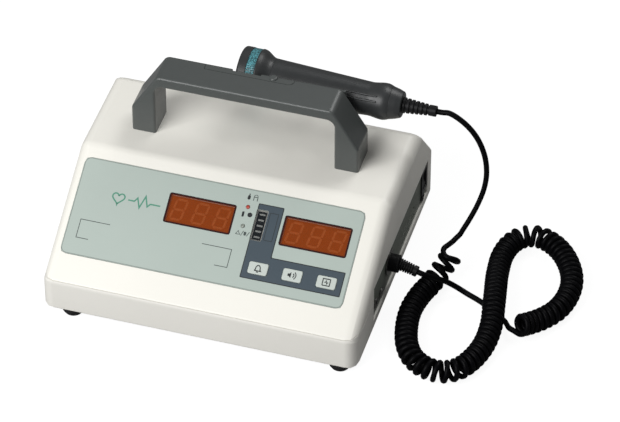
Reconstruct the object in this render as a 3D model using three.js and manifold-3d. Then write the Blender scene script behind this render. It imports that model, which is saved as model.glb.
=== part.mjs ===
// A table-top fetal doppler monitor: two displays and three keys on a sloping front, a carrying handle with
// the hand probe held behind its bar, and a curly cord from the probe to a plug on the right side.
// Millimetres. The front faces -Y, +X is the viewer's right and +Z is up. The origin is on the table, under
// the middle of the case.
import * as THREE from "three";
import { mergeVertices } from "three/addons/utils/BufferGeometryUtils.js";
import Module from "manifold-3d";

const wasm = await Module();
wasm.setup();

// Fits
const clearance = 0.3; // between a piece and its seat or its opening
const overrun = 2; // how far a cutter runs past what it cuts
const probeSides = 28; // sides of the probe's turned pieces
const roundSides = 14; // sides of other turned pieces
const smallSides = 8; // sides of a screw, pin or hole

// Case
const caseWidth = 254;
const caseDepth = 218;
const footHeight = 6.2;
const lowerHeight = 28.7;
const upperHeight = 58.33;
const slopeRun = 99.66;
const topLength = 83.4;
const rearWallHeight = 44.8;
const caseWall = 3;
const endRadius = 10;
const lipRadius = 5;
const topFrontRadius = 13;
const topBackRadius = 10;
const rearCreaseRadius = 8;
const rearBottomRadius = 7;
const frontBottomRadius = 2;
const leastRadiusShare = 0.2; // of a corner's radius, kept where the corner is inset
const bottomInsetShare = 0.15; // of the end rounding, taken by the bottom edge
const rearInsetShare = 0.3; // and by the rear wall and the rear slope
const seamGap = 0.6;
const tongueHeight = 3;

// Case screws and their posts
const screwPostFromSide = 37;
const screwPostFromFront = 19;
const screwPostFromRear = 24;
const screwPostRadius = 4.5;
const screwPostTopAboveFloor = 13;
const screwHeadRadius = 3;
const screwHeadHeight = 2.4;
const screwShankRadius = 1.4;
const screwShankLength = 16;
const screwSeatAboveBottom = 8;

// Feet
const footRadius = 9;
const footFlatRadius = 6.5;
const footFromLeft = 23;
const footFromRight = 15;
const footFromEnd = 9;
const footPegRadius = 2.5;
const footPegAboveFloor = 2;

// Front panel, in the slope's own plane: x as the case's, u up the slope from the seam
const panelLeftMargin = 9;
const panelRightMargin = 18;
const panelStart = 24.4;
const panelLength = 79.7;
const panelCornerRadius = 5;
const panelThickness = 1.4;
const panelProud = 0.2;

// Displays
const digitPitch = 18.1;
const digitsPerDisplay = 3;
const digitModuleHeight = 27;
const windowWidth = 53.6;
const windowHeight = 24.2;
const windowThickness = 1.1;
const windowLedge = 1.5;
const windowBelowPanelTop = 15.2;
const windowPitch = 93.2;
const rightWindowFromRight = 7;
const barWidth = 8.8;
const barHeight = 24.8;
const barFromWindow = 16.6;
const barLedge = 0.8;
const barModuleWidth = 10.2;
const barModuleHeight = 25.4;

// Lamps
const lampRadius = 1.5;
const lampBaseRadius = 1.9;
const lampBaseHeight = 6;
const lampProud = 0.4;
const lampFromWindow = 8.8;
const redLampBelowPanelTop = 14.6;
const greyLampBelowPanelTop = 30.3;

// Keys
const keyWidth = 15.4;
const keyHeight = 9.6;
const keyCornerRadius = 1.5;
const keyProud = 0.8;
const keyFlange = 1.2;
const keyFlangeThickness = 1.2;
const keyStemRadius = 2;
const keyStemLength = 1.1;
const keyTravel = 0.5;
const keyAbovePanelStart = 18.3;
const keyPitch = 27.3;
const lastKeyFromRight = 16.4;
const switchSize = 6;
const switchHeight = 3.4;
const plungerRadius = 1.6;
const plungerHeight = 0.5;

// Display board
const boardThickness = 1.6;
const displayBoardMargin = 4;
const displayBoardStart = 30;
const displayBoardLength = 67;
const displayPostRadius = 3;
const displayPostGap = 1.8;
const smallScrewShankRadius = 1;
const smallScrewShankLength = 6;
const smallScrewHeadRadius = 2.2;
const smallScrewHeadHeight = 1.5;

// Handle
const handleInnerHalfWidth = 72.5;
const handleLegWidth = 19.5;
const handleTopDraw = 1.5; // how far the top's corners lie inside the gap's sides
const handleShoulderHeight = 22.8;
const handleHeight = 57.2;
const handleBarThickness = 9.6;
const handleDepth = 28.6;
const handleFromTopFront = 24.94;
const handleEdge = 2;
const handleInnerRadius = 8;
const handleShoulderRadius = 5;
const handleTopRadius = 5;
const handleScrewInset = 7;
const handleScrewShankRadius = 1.7;
const handleScrewShankLength = 19;
const handleScrewHeadRadius = 3.5;
const handleScrewHeadHeight = 2.6;
const notchBeforeProbe = 1.5;
const notchPastProbe = 23;
const notchDepth = 3.1;
const stepBeforeProbe = 21.7;
const stepPastProbe = 50;
const stepWidth = 7.2;
const stepDepth = 1;

// Probe, turned about an axis that runs along X behind the handle's bar
const probeBehindHandle = 19.9;
const probeBelowHandleTop = 21.85;
const probeFaceX = -17;
const headRadius = 22.5;
const faceThickness = 3;
const faceRimLength = 7.4;
const faceEdge = 2;
const bandLength = 6.4;
const bandStep = 0.3;
const spigotRadius = 17.7;
const spigotWall = 2.2;
const spigotLength = 9;
const headStraight = 0.6;
const headShoulder = 11.2;
const gripStartRadius = 17.1;
const gripTaperLength = 78;
const gripEndRadius = 13.2;
const gripBulgeRadius = 14.5;
const gripBulgeLength = 17;
const gripTailRadius = 12.3;
const gripBore = 11;
const gripBoreStart = 12.2;
const gripSpigotRadius = 14.1;
const gripSpigotLength = 8;
const tailLength = 9.1;
const tailEndRadius = 9.4;
const tailSpigotRadius = 9.9;
const tailSpigotLength = 5;
const gripRibLength = 27;
const gripRibWidth = 1.6;
const gripRibRadius = 14.9;
const gripRibRoot = 12.6;
const gripRibFromTail = 9;
const gripRibAngles = [34, 52]; // degrees above the front
const discRadius = 15;
const discThickness = 2;
const probeBoardStart = 8;
const probeBoardEnd = 10;
const probeBoardThickness = 1.2;
const probeBoardSlack = 0.15; // more room at its long edges, which are flat

// Probe holder
const cradleThickness = 2.6;
const cradleHeight = 6.2;
const cradleStart = 35;
const saddlePitch = 26;
const saddleWidth = 12;
const saddleWall = 2.5;
const saddleSteps = 8;
const cradleScrewHeadRadius = 2.3;
const cradleScrewHeadHeight = 1.3;
const cradleScrewShankRadius = 1.2;
const cradleScrewShankLength = 8;
const cradleScrewPitch = 17;

// Side panel and what it carries, placed by how far each is from the panel's ends, and by z
const bayFromFront = 49;
const bayFromRear = 13;
const bayBottom = 14.5;
const bayTop = 48;
const bayDepth = 1.5;
const plateThickness = 4.3;
const plateFlange = 1.7;
const slotFromRear = 34;
const slotLength = 38;
const slotWidth = 2.2;
const slotHeights = [20, 27];
const bezelWidth = 15;
const bezelHeight = 24;
const bezelThickness = 1;
const switchFromRear = 8;
const switchZ = 34.3;
const switchHousingWidth = 11.8;
const switchHousingHeight = 21.4;
const switchHousingDepth = 15;
const rockerWidth = 9.4;
const rockerReach = 8.9; // from the pivot to the rocker's far corners
const rockerDepth = 4.5; // from the plate's front down to the pivot
const rockerNose = 3.2;
const rockerTilt = 8; // degrees either side of level
const rockerPinRadius = 1.2;
const rockerPinLength = 0.7;
const socketFromFront = 47;
const socketZ = 34.5;
const socketFlangeRadius = 10.5;
const socketRadius = 9;
const socketBore = 7.5;
const socketBoreDepth = 13;
const socketDepth = 17;
const jackFlangeRadius = 4.5;
const jackNeckRadius = 3.4;
const jackBodyRadius = 5;
const jackDepth = 15;
const audioBore = 1.75;
const audioBoreDepth = 12;
const powerFlangeRadius = 3.6;
const powerNeckRadius = 3.1;
const powerBodyRadius = 4.5;
const powerBore = 2.5;
const powerPinRadius = 0.8;
const powerBoreDepth = 9;
const earphoneFromFront = 24;
const earphoneZ = 22.5;
const recorderFromFront = 8;
const recorderZ = 26;
const powerJackFromRear = 12;
const powerJackZ = 18.4;

// Main board, battery and speaker
const mainBoardFromBattery = 16;
const mainBoardFromRight = 27;
const mainBoardFromFront = 64;
const mainBoardFromRear = 35;
const mainBoardAboveFloor = 7;
const standoffRadius = 3;
const standoffInset = 6;
const stakeRadius = 1.2;
const stakeHeadRadius = 2.2;
const stakeHeadHeight = 0.8;
const batteryFromLeft = 17;
const batteryFromRear = 37;
const batteryFromSpeaker = 25;
const batteryWidth = 70;
const batteryHeight = 34;
const batteryTrayWall = 2;
const batteryTrayHeight = 9;
const speakerFromLeft = 63;
const speakerFromFront = 61;
const speakerRadius = 33;
const speakerRim = 2.7;
const speakerBasketHeight = 11;
const speakerMagnetRadius = 17;
const speakerHeight = 21;
const speakerRingWall = 2;
const speakerRingHeight = 3;
const speakerSlots = 5;
const speakerSlotWidth = 2.4;
const speakerSlotPitch = 8;
const speakerSlotReach = 25;

// Cord
const cordDiameter = 4.4;
const coilDiameter = 18.4;
const closePitch = 5;
const loosePitch = 8;
const looseLength = 4;
const looseFade = 28;
const bendReachShare = 0.75; // of a curl's pitch, either side, where the bend is measured
const startAngle = 200; // degrees round the coil, from its side towards its top
const endAngle = 270;
const curlSteps = 8;
const curlSides = 5;
const measureSteps = 4; // points measured in each step
const cordSides = 10;
const reliefRadius = 4.65;
const reliefGrooveDepth = 1.2;
const reliefRibs = 6;
const reliefRibShare = 0.55; // of each rib's pitch, left at full radius
const reliefSides = 10;
const reliefStem = 3;
const reliefStemLength = 4;
const probeReliefRadius = 6.3;
const probeReliefLength = 26.9;
const probeReliefCollar = 6;
const plugRadius = 7.2;
const plugOutside = 7.7;
const plugNose = 11.6;
const plugEdge = 1.2;
const plugReliefLength = 14.5;
const plugReliefCollar = 3.4;
const plugReliefDrop = 3;
const plugReliefSwing = 1.5;

// The wire's first half turn, which hangs loose from the lead, before the first curl.
const swingRoute = [
  [168.8, 28.4, 34.7], [167.5, 27.5, 33.1], [166.2, 26.6, 31.5], [163.7, 23.2, 30.4],
  [161.6, 19.4, 30], [161.7, 15.8, 29.5], [163.4, 12.8, 28.9], [166.1, 11.3, 28.4], [169.2, 11.6, 27.6],
  [171.9, 13.6, 25.4],
];

// The centre line of the curls. The first ones hang from the lead, the middle run arches over the tail, and
// the last ones rise off the table.
const coilRoute = [
  [167, 20, 22.1], [165, 16.6, 19.1], [162.7, 12.5, 15.5], [159.9, 6.6, 11.6], [156.6, -2.5, 9.3],
  [152.8, -14, 9.3], [149.9, -34, 9.3], [152.1, -55.5, 9.3], [157.9, -73.9, 9.3], [166.8, -86.6, 9.3],
  [179.1, -93.4, 9.3], [191.6, -93.6, 9.3], [202, -87, 9.4], [210, -73, 9.8], [214.4, -54.8, 10.6],
  [214.5, -34.8, 12.7], [211.3, -15.7, 14.4], [207.2, 5.6, 13.2], [203.6, 27.2, 10.6], [202.4, 45.3, 9.6],
  [205.6, 61.4, 9.3], [212.3, 71, 9.3], [221.8, 74.9, 9.3], [233.4, 72.2, 9.3], [245.7, 63.1, 9.3],
  [256.2, 48, 9.3], [262, 31.4, 9.3], [262.4, 13.2, 9.3], [257.8, -3.2, 9.3], [250, -14.8, 9.3],
  [242.6, -21.9, 9.6], [234.6, -29.6, 11.8],
];

// The lead's route from the probe to the curls, and the tail's from the curls to the plug. Each runs between
// the faces that it meets, whose places come from the pieces that carry them.
const leadRoute = [
  [151.4, 63.8, 129.4], [164, 62.3, 123.5], [174.6, 59.8, 113.8], [182.2, 55.8, 101],
  [185.6, 51, 88], [185.3, 46.2, 75.8], [182.2, 41, 63.4], [177.6, 35.9, 51.4], [173, 31.5, 41.5],
];
const tailRoute = [
  [221.6, -20.2, 3.2], [216.3, -15.6, 2.4], [208.8, -10.2, 2.3], [197.6, -3, 2.3],
  [185, 2.6, 2.6], [176.4, 2.7, 7.2], [169.8, -1.2, 14.2], [163.2, -7.4, 21.8],
];

// Places worked out from the sizes above
const frontY = -caseDepth / 2;
const rearY = caseDepth / 2;
const sideX = caseWidth / 2;
const bottomZ = footHeight;
const floorZ = bottomZ + caseWall;
const seamZ = bottomZ + lowerHeight;
const topZ = seamZ + upperHeight;
const topFrontY = frontY + slopeRun;
const topBackY = topFrontY + topLength;
const rearCreaseZ = bottomZ + rearWallHeight;
const slopeAngle = Math.atan2(upperHeight, slopeRun);
const slopePlace = new THREE.Matrix4().makeRotationX(slopeAngle).setPosition(0, frontY, seamZ);

const panelLeft = -sideX + panelLeftMargin;
const panelRight = sideX - panelRightMargin;
const panelEnd = panelStart + panelLength;
const pocketDepth = panelThickness - panelProud + clearance;
const rightWindowX = panelRight - rightWindowFromRight - windowWidth / 2;
const leftWindowX = rightWindowX - windowPitch;
const windowU = panelEnd - windowBelowPanelTop - windowHeight / 2;
const barX = leftWindowX + windowWidth / 2 + barFromWindow + barWidth / 2;
const lampX = leftWindowX + windowWidth / 2 + lampFromWindow;
const keyU = panelStart + keyAbovePanelStart;
const keyPlaces = { left: 2, middle: 1, right: 0 };
const keyX = (name) => panelRight - lastKeyFromRight - keyPitch * keyPlaces[name];
const keyBottom = -caseWall - clearance - keyFlangeThickness - keyStemLength;
const boardFace = keyBottom - keyTravel - clearance - plungerHeight - switchHeight - clearance;
const moduleFace = -caseWall - clearance;
const moduleWidth = digitPitch * digitsPerDisplay;
const displayPosts = {
  left: leftWindowX - moduleWidth / 2 - displayPostGap - displayPostRadius,
  right: rightWindowX + moduleWidth / 2 + displayPostGap + displayPostRadius,
};

const handleHalfWidth = handleInnerHalfWidth + handleLegWidth;
const handleTopHalfWidth = handleInnerHalfWidth - handleTopDraw;
const notchLeft = probeFaceX - notchBeforeProbe;
const notchRight = probeFaceX + notchPastProbe;
const stepLeft = probeFaceX - stepBeforeProbe;
const stepRight = probeFaceX + stepPastProbe;
const handleFrontY = topFrontY + handleFromTopFront;
const handleBackY = handleFrontY + handleDepth;
const handleTopZ = topZ + handleHeight;
const barUnderZ = handleTopZ - handleBarThickness;
const legX = (handleHalfWidth + handleInnerHalfWidth) / 2;
const handleScrewYs = { front: handleFrontY + handleScrewInset, back: handleBackY - handleScrewInset };

const probeY = handleBackY + probeBehindHandle;
const probeZ = handleTopZ - probeBelowHandleTop;
const bandX = probeFaceX + faceRimLength + clearance;
const headX = bandX + bandLength + clearance;
const gripX = headX + headStraight + headShoulder + clearance;
const gripTaperEnd = gripX + gripTaperLength;
const gripEndX = gripTaperEnd + gripBulgeLength;
const tailX = gripEndX + clearance;
const tailEndX = tailX + tailLength;
const probeReliefX = tailEndX + clearance;
const leadX = probeReliefX + probeReliefLength + clearance;

const bayFront = frontY + bayFromFront;
const bayRear = rearY - bayFromRear;
const slotRear = bayRear - slotFromRear;
const slotFront = slotRear - slotLength;
const switchY = bayRear - switchFromRear;
const powerJackY = bayRear - powerJackFromRear;
const socketY = bayFront + socketFromFront;
const earphoneY = bayFront + earphoneFromFront;
const recorderY = bayFront + recorderFromFront;
const plateFaceX = sideX - bayDepth;
const plateBackX = plateFaceX - plateThickness;
const bezelX = plateFaceX + clearance;
const plugEndX = plateFaceX + plugOutside + bayDepth;

const speakerX = -sideX + speakerFromLeft;
const speakerY = frontY + speakerFromFront;
const batteryLeft = -sideX + batteryFromLeft;
const batteryRight = batteryLeft + batteryWidth;
const batteryFront = speakerY + speakerRadius + batteryFromSpeaker;
const batteryRear = rearY - batteryFromRear;
const mainBoardLeft = batteryRight + mainBoardFromBattery;
const mainBoardRight = sideX - mainBoardFromRight;
const mainBoardFront = frontY + mainBoardFromFront;
const mainBoardRear = rearY - mainBoardFromRear;
const mainBoardZ = floorZ + mainBoardAboveFloor + clearance;

// Finishes
const finish = (color, roughness, metalness = 0) =>
  new THREE.MeshStandardMaterial({ color, roughness, metalness });
const finishes = {
  white: () => finish(0xe9e7e0, 0.45),
  shellGrey: () => finish(0xdad8d0, 0.45),
  panelGrey: () => finish(0xb8c1b8, 0.5),
  window: () => finish(0x5a2010, 0.15),
  darkPlastic: () => finish(0x26262a, 0.5),
  keyGrey: () => finish(0xc4ccc6, 0.5),
  handleGrey: () => finish(0x4c4e4c, 0.5),
  probeGrey: () => finish(0x3a3b3a, 0.5),
  teal: () => finish(0x7fa6ad, 0.45),
  bayGrey: () => finish(0x6c7269, 0.5),
  board: () => finish(0x2c6a3c, 0.55),
  rubber: () => finish(0x16161a, 0.8),
  cord: () => finish(0x121214, 0.55),
  steel: () => finish(0xb4b6ba, 0.35, 1),
  lampRed: () => finish(0xa02018, 0.25),
  lampGrey: () => finish(0x8c8c88, 0.3),
  battery: () => finish(0x2f4f78, 0.5),
};

const monitor = new THREE.Group();
monitor.name = "fetal_doppler_monitor";
const slope = new THREE.Group();
slope.applyMatrix4(slopePlace);
monitor.add(slope);

function addPiece(name, shape, look, parent = monitor) {
  const geometry = shape.isBufferGeometry ? shape : geometryOf(shape);
  const mesh = new THREE.Mesh(geometry, finishes[look]());
  mesh.name = name;
  parent.add(mesh);
  return mesh;
}

// A closed geometry as a solid that can be joined and cut, and back again.
function solidOf(geometry) {
  const loose = geometry.index ? geometry.toNonIndexed() : geometry;
  const bare = new THREE.BufferGeometry().setAttribute("position", loose.getAttribute("position"));
  const merged = mergeVertices(bare);
  return new wasm.Manifold(
    new wasm.Mesh({
      numProp: 3,
      vertProperties: merged.getAttribute("position").array,
      triVerts: new Uint32Array(merged.index.array),
    }),
  );
}

function geometryOf(solid) {
  const mesh = solid.getMesh();
  const geometry = new THREE.BufferGeometry();
  geometry.setAttribute("position", new THREE.BufferAttribute(new Float32Array(mesh.vertProperties), 3));
  geometry.setIndex(new THREE.BufferAttribute(new Uint32Array(mesh.triVerts), 1));
  const faceted = geometry.toNonIndexed();
  faceted.computeVertexNormals();
  return faceted;
}

const join = (...solids) => solids.reduce((all, next) => all.add(next));
const cut = (body, ...cutters) => cutters.reduce((left, next) => left.subtract(next), body);

// Simple shapes, each by its limits
function box(x0, x1, y0, y1, z0, z1) {
  const geometry = new THREE.BoxGeometry(x1 - x0, y1 - y0, z1 - z0);
  return geometry.translate((x0 + x1) / 2, (y0 + y1) / 2, (z0 + z1) / 2);
}

// A turned piece whose profile is pairs of radius and place along the axis.
function turned(profile, axis = "z", sides = roundSides) {
  const points = profile.map(([radius, along]) => new THREE.Vector2(radius, along));
  const geometry = new THREE.LatheGeometry(points, sides);
  if (axis === "x") geometry.rotateZ(-Math.PI / 2);
  if (axis === "z") geometry.rotateX(Math.PI / 2);
  return geometry;
}

const rod = (radius, from, to, axis = "z", sides = smallSides) =>
  turned([[0, from], [radius, from], [radius, to], [0, to]], axis, sides);

// A ring with its bore, or a cup where the bore stops short
const ring = (radius, bore, from, to, axis = "z", sides = roundSides) =>
  turned([[bore, from], [radius, from], [radius, to], [bore, to], [bore, from]], axis, sides);

// A closed outline whose corners, each x, y and radius, are rounded.
function rounded(corners, Kind = THREE.Shape) {
  const outline = new Kind();
  corners.forEach(([x, y, radius], i) => {
    const corner = new THREE.Vector2(x, y);
    const ends = [corners.at(i - 1), corners[(i + 1) % corners.length]].map(([nx, ny]) => {
      const way = new THREE.Vector2(nx, ny).sub(corner);
      const reach = Math.min(radius, way.length() / 2);
      return way.setLength(reach).add(corner);
    });
    if (i === 0) outline.moveTo(ends[0].x, ends[0].y);
    else outline.lineTo(ends[0].x, ends[0].y);
    if (radius > 0) outline.quadraticCurveTo(x, y, ends[1].x, ends[1].y);
  });
  outline.closePath();
  return outline;
}

const rectangle = (x0, x1, y0, y1, radius, Kind) =>
  rounded([[x0, y0, radius], [x1, y0, radius], [x1, y1, radius], [x0, y1, radius]], Kind);

function centred(x, y, width, height, radius, grow = 0, Kind = THREE.Shape) {
  const halfWidth = width / 2 + grow;
  const halfHeight = height / 2 + grow;
  return rectangle(x - halfWidth, x + halfWidth, y - halfHeight, y + halfHeight, radius + grow, Kind);
}

function circle(x, y, radius, sides) {
  const points = Array.from({ length: sides }, (_, i) => {
    const angle = (i / sides) * Math.PI * 2;
    return new THREE.Vector2(x + radius * Math.cos(angle), y + radius * Math.sin(angle));
  });
  return new THREE.Path(points);
}

function slab(outline, from, to, curveSegments = 2) {
  const options = { depth: to - from, bevelEnabled: false, curveSegments };
  return new THREE.ExtrudeGeometry(outline, options).translate(0, 0, from);
}

// The case: one closed outline seen from the side, drawn in at both ends
const caseCorners = [
  [frontY, bottomZ, frontBottomRadius],
  [rearY, bottomZ, rearBottomRadius],
  [rearY, rearCreaseZ, rearCreaseRadius],
  [topBackY, topZ, topBackRadius],
  [topFrontY, topZ, topFrontRadius],
  [frontY, seamZ, lipRadius],
];
const insetShares = [bottomInsetShare, rearInsetShare, rearInsetShare, 1, 1, 1];
const cornerSteps = 3;
const endSteps = 3;

// The side outline, drawn in by a wall and by the rounding of the end.
function caseOutline(wall, rounding) {
  const count = caseCorners.length;
  const edges = caseCorners.map(([y, z], i) => {
    const [nextY, nextZ] = caseCorners[(i + 1) % count];
    const normal = new THREE.Vector2(nextZ - z, y - nextY).normalize();
    const inset = wall + rounding * insetShares[i];
    return { normal, offset: normal.dot(new THREE.Vector2(y, z)) - inset };
  });
  return caseCorners.flatMap(([, , radius], i) => {
    const before = edges[(i + count - 1) % count];
    const after = edges[i];
    const turn = before.normal.cross(after.normal);
    const corner = new THREE.Vector2(
      (before.offset * after.normal.y - after.offset * before.normal.y) / turn,
      (after.offset * before.normal.x - before.offset * after.normal.x) / turn,
    );
    const kept = Math.max(radius - wall - rounding, radius * leastRadiusShare);
    const middle = before.normal.clone().add(after.normal).normalize();
    const centre = corner.sub(middle.clone().multiplyScalar(kept / middle.dot(after.normal)));
    const start = before.normal.angle();
    const sweep = Math.asin(turn);
    return Array.from({ length: cornerSteps + 1 }, (_, step) => {
      const angle = start + (sweep * step) / cornerSteps;
      return [centre.x + kept * Math.cos(angle), centre.y + kept * Math.sin(angle)];
    });
  });
}

// The solid inside the case's surface drawn in by a wall.
function caseBody(wall) {
  const half = sideX - wall;
  const radius = Math.max(endRadius - wall, endRadius * leastRadiusShare);
  const stations = [];
  for (let step = 0; step <= endSteps; step++) {
    const angle = (Math.PI / 2) * (step / endSteps);
    stations.push([half - radius * (1 - Math.cos(angle)), radius * (1 - Math.sin(angle))]);
  }
  const mirrored = stations.map(([x, rounding]) => [-x, rounding]);
  const rings = [...mirrored, ...stations.reverse()].map(([x, rounding]) =>
    caseOutline(wall, rounding).map(([y, z]) => [x, y, z]),
  );
  const count = rings[0].length;
  const index = [];
  for (let r = 0; r + 1 < rings.length; r++) {
    for (let j = 0; j < count; j++) {
      const a = r * count + j;
      const b = r * count + ((j + 1) % count);
      index.push(a, b, b + count, a, b + count, a + count);
    }
  }
  const last = (rings.length - 1) * count;
  for (let j = 1; j + 1 < count; j++) index.push(0, j + 1, j, last, last + j, last + j + 1);
  const geometry = new THREE.BufferGeometry();
  geometry.setAttribute("position", new THREE.Float32BufferAttribute(rings.flat(2), 3));
  geometry.setIndex(index);
  return solidOf(geometry);
}

const band = (from, to) =>
  solidOf(box(-sideX - overrun, sideX + overrun, frontY - overrun, rearY + overrun, from, to));
const onSlope = (geometry) => solidOf(geometry.applyMatrix4(slopePlace));

const caseOuter = caseBody(0);
const caseInner = caseBody(caseWall);
const caseShell = caseOuter.subtract(caseInner);
const screwPosts = [];
for (const [side, sign] of [["left", -1], ["right", 1]]) {
  const x = sign * (sideX - screwPostFromSide);
  screwPosts.push({ name: "front_" + side, x, y: frontY + screwPostFromFront });
  screwPosts.push({ name: "rear_" + side, x, y: rearY - screwPostFromRear });
}
const feet = screwPosts.map(({ name }) => ({
  name,
  x: name.endsWith("left") ? -sideX + footFromLeft : sideX - footFromRight,
  y: name.startsWith("front") ? frontY + footFromEnd : rearY - footFromEnd,
}));
const bayCutter = solidOf(
  box(sideX - caseWall - overrun, sideX + overrun, bayFront, bayRear, bayBottom, bayTop),
);

function place(geometry, x, y, z = 0) {
  return geometry.translate(x, y, z);
}

// Lower case: floor, tongue, screw bosses, standoffs, trays and the speaker's ring
function lowerCase() {
  const tongue = caseBody((caseWall + clearance) / 2)
    .subtract(caseInner)
    .intersect(band(seamZ - overrun, seamZ + tongueHeight));
  const tub = caseShell.intersect(band(bottomZ - overrun, seamZ - seamGap / 2)).add(tongue);
  const bossTop = floorZ + screwPostTopAboveFloor;
  const rise = floorZ - caseWall / 2;
  const bosses = screwPosts.map(({ x, y }) =>
    solidOf(place(rod(screwPostRadius, rise, bossTop, "z", roundSides), x, y)),
  );
  const holes = screwPosts.flatMap(({ x, y }) => [
    solidOf(place(rod(screwShankRadius + clearance, bottomZ, bossTop + overrun), x, y)),
    solidOf(
      place(
        rod(screwHeadRadius + clearance, bottomZ - overrun, bottomZ + screwSeatAboveBottom, "z", roundSides),
        x,
        y,
      ),
    ),
  ]);
  const footHoles = feet.map(({ x, y }) =>
    solidOf(place(rod(footPegRadius + clearance, bottomZ - overrun, floorZ + overrun), x, y)),
  );
  const standoffs = [];
  for (const x of [mainBoardLeft + standoffInset, mainBoardRight - standoffInset]) {
    for (const y of [mainBoardFront + standoffInset, mainBoardRear - standoffInset]) {
      const boardTop = mainBoardZ + boardThickness + clearance;
      const profile = [
        [0, rise], [standoffRadius, rise], [standoffRadius, mainBoardZ - clearance],
        [stakeRadius, mainBoardZ - clearance], [stakeRadius, boardTop], [stakeHeadRadius, boardTop],
        [stakeHeadRadius, boardTop + stakeHeadHeight], [0, boardTop + stakeHeadHeight],
      ];
      standoffs.push(solidOf(place(turned(profile, "z", smallSides), x, y)));
    }
  }
  const room = clearance + batteryTrayWall;
  const trayTop = floorZ + batteryTrayHeight;
  const tray = cut(
    solidOf(
      box(batteryLeft - room, batteryRight + room, batteryFront - room, batteryRear + room, rise, trayTop),
    ),
    solidOf(
      box(
        batteryLeft - clearance, batteryRight + clearance, batteryFront - clearance, batteryRear + clearance,
        rise - overrun, trayTop + overrun,
      ),
    ),
  );
  const ringInner = speakerRadius + clearance;
  const speakerRing = solidOf(
    place(ring(ringInner + speakerRingWall, ringInner, rise, floorZ + speakerRingHeight), speakerX, speakerY),
  );
  const slots = [];
  for (let i = 0; i < speakerSlots; i++) {
    const away = (i - (speakerSlots - 1) / 2) * speakerSlotPitch;
    const half = Math.sqrt(speakerSlotReach ** 2 - away ** 2);
    slots.push(
      solidOf(
        box(
          speakerX - half, speakerX + half, speakerY + away - speakerSlotWidth / 2,
          speakerY + away + speakerSlotWidth / 2, bottomZ - overrun, floorZ + overrun,
        ),
      ),
    );
  }
  const whole = join(tub, ...bosses, ...standoffs, tray, speakerRing);
  return cut(whole, ...holes, ...footHoles, ...slots, bayCutter);
}
addPiece("lower_case", lowerCase(), "shellGrey");

// Upper case: the roof with the panel's pocket and openings, the posts and the side opening
const windows = { left: leftWindowX, right: rightWindowX };
const lamps = { red: panelEnd - redLampBelowPanelTop, grey: panelEnd - greyLampBelowPanelTop };
const through = (outline) => onSlope(slab(outline, -caseWall - overrun, overrun));
const panelOutline = (grow, Kind) =>
  rectangle(
    panelLeft - grow, panelRight + grow, panelStart - grow, panelEnd + grow, panelCornerRadius + grow, Kind,
  );

function upperCase() {
  const groove = caseBody((caseWall - clearance) / 2).intersect(
    band(bottomZ, seamZ + tongueHeight + clearance),
  );
  const roof = caseShell.intersect(band(seamZ + seamGap / 2, topZ + overrun)).subtract(groove);
  const bossTop = floorZ + screwPostTopAboveFloor;
  const inside = caseBody(caseWall / 2);
  const posts = screwPosts.map(({ x, y }) =>
    solidOf(place(rod(screwPostRadius, bossTop + clearance, topZ, "z", roundSides), x, y)).intersect(inside),
  );
  const pilots = screwPosts.map(({ x, y }) =>
    solidOf(place(rod(screwShankRadius + clearance, bossTop, bossTop + screwShankLength), x, y)),
  );
  const boardPosts = Object.values(displayPosts).map((x) =>
    onSlope(place(rod(displayPostRadius, boardFace + clearance, -caseWall / 2 - clearance), x, windowU)),
  );
  const pilotRadius = smallScrewShankRadius + clearance;
  const boardPilots = Object.values(displayPosts).map((x) =>
    onSlope(place(rod(pilotRadius, boardFace - overrun, boardFace + smallScrewShankLength), x, windowU)),
  );
  const pocket = onSlope(slab(panelOutline(clearance), -pocketDepth, overrun));
  const openings = [
    ...Object.values(windows).map((x) =>
      through(centred(x, windowU, windowWidth, windowHeight, windowLedge, -windowLedge)),
    ),
    through(centred(barX, windowU, barWidth, barHeight, barLedge, -barLedge)),
    ...Object.keys(keyPlaces).map((name) =>
      through(centred(keyX(name), keyU, keyWidth, keyHeight, keyCornerRadius, clearance)),
    ),
    ...Object.values(lamps).map((u) =>
      onSlope(place(rod(lampRadius + clearance, -caseWall - overrun, overrun), lampX, u)),
    ),
  ];
  const handleHoleRadius = handleScrewShankRadius + clearance;
  const handleHoles = [-legX, legX].flatMap((x) =>
    Object.values(handleScrewYs).map((y) =>
      solidOf(place(rod(handleHoleRadius, topZ - caseWall - overrun, topZ + overrun), x, y)),
    ),
  );
  const whole = join(roof, ...posts, ...boardPosts);
  return cut(whole, pocket, ...openings, ...pilots, ...boardPilots, ...handleHoles, bayCutter);
}
addPiece("upper_case", upperCase(), "white");

// Front panel, with a hole for each window, key and lamp
function frontOverlay() {
  const outline = panelOutline(0);
  const windowHole = (x) =>
    centred(x, windowU, windowWidth, windowHeight, windowLedge, clearance, THREE.Path);
  outline.holes.push(windowHole(leftWindowX), windowHole(rightWindowX));
  outline.holes.push(centred(barX, windowU, barWidth, barHeight, barLedge, clearance, THREE.Path));
  for (const name of Object.keys(keyPlaces)) {
    outline.holes.push(
      centred(keyX(name), keyU, keyWidth, keyHeight, keyCornerRadius, clearance, THREE.Path),
    );
  }
  for (const u of Object.values(lamps)) {
    outline.holes.push(circle(lampX, u, lampRadius + clearance, smallSides));
  }
  return slab(outline, panelProud - panelThickness, panelProud);
}
addPiece("front_overlay", frontOverlay(), "panelGrey", slope);

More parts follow.
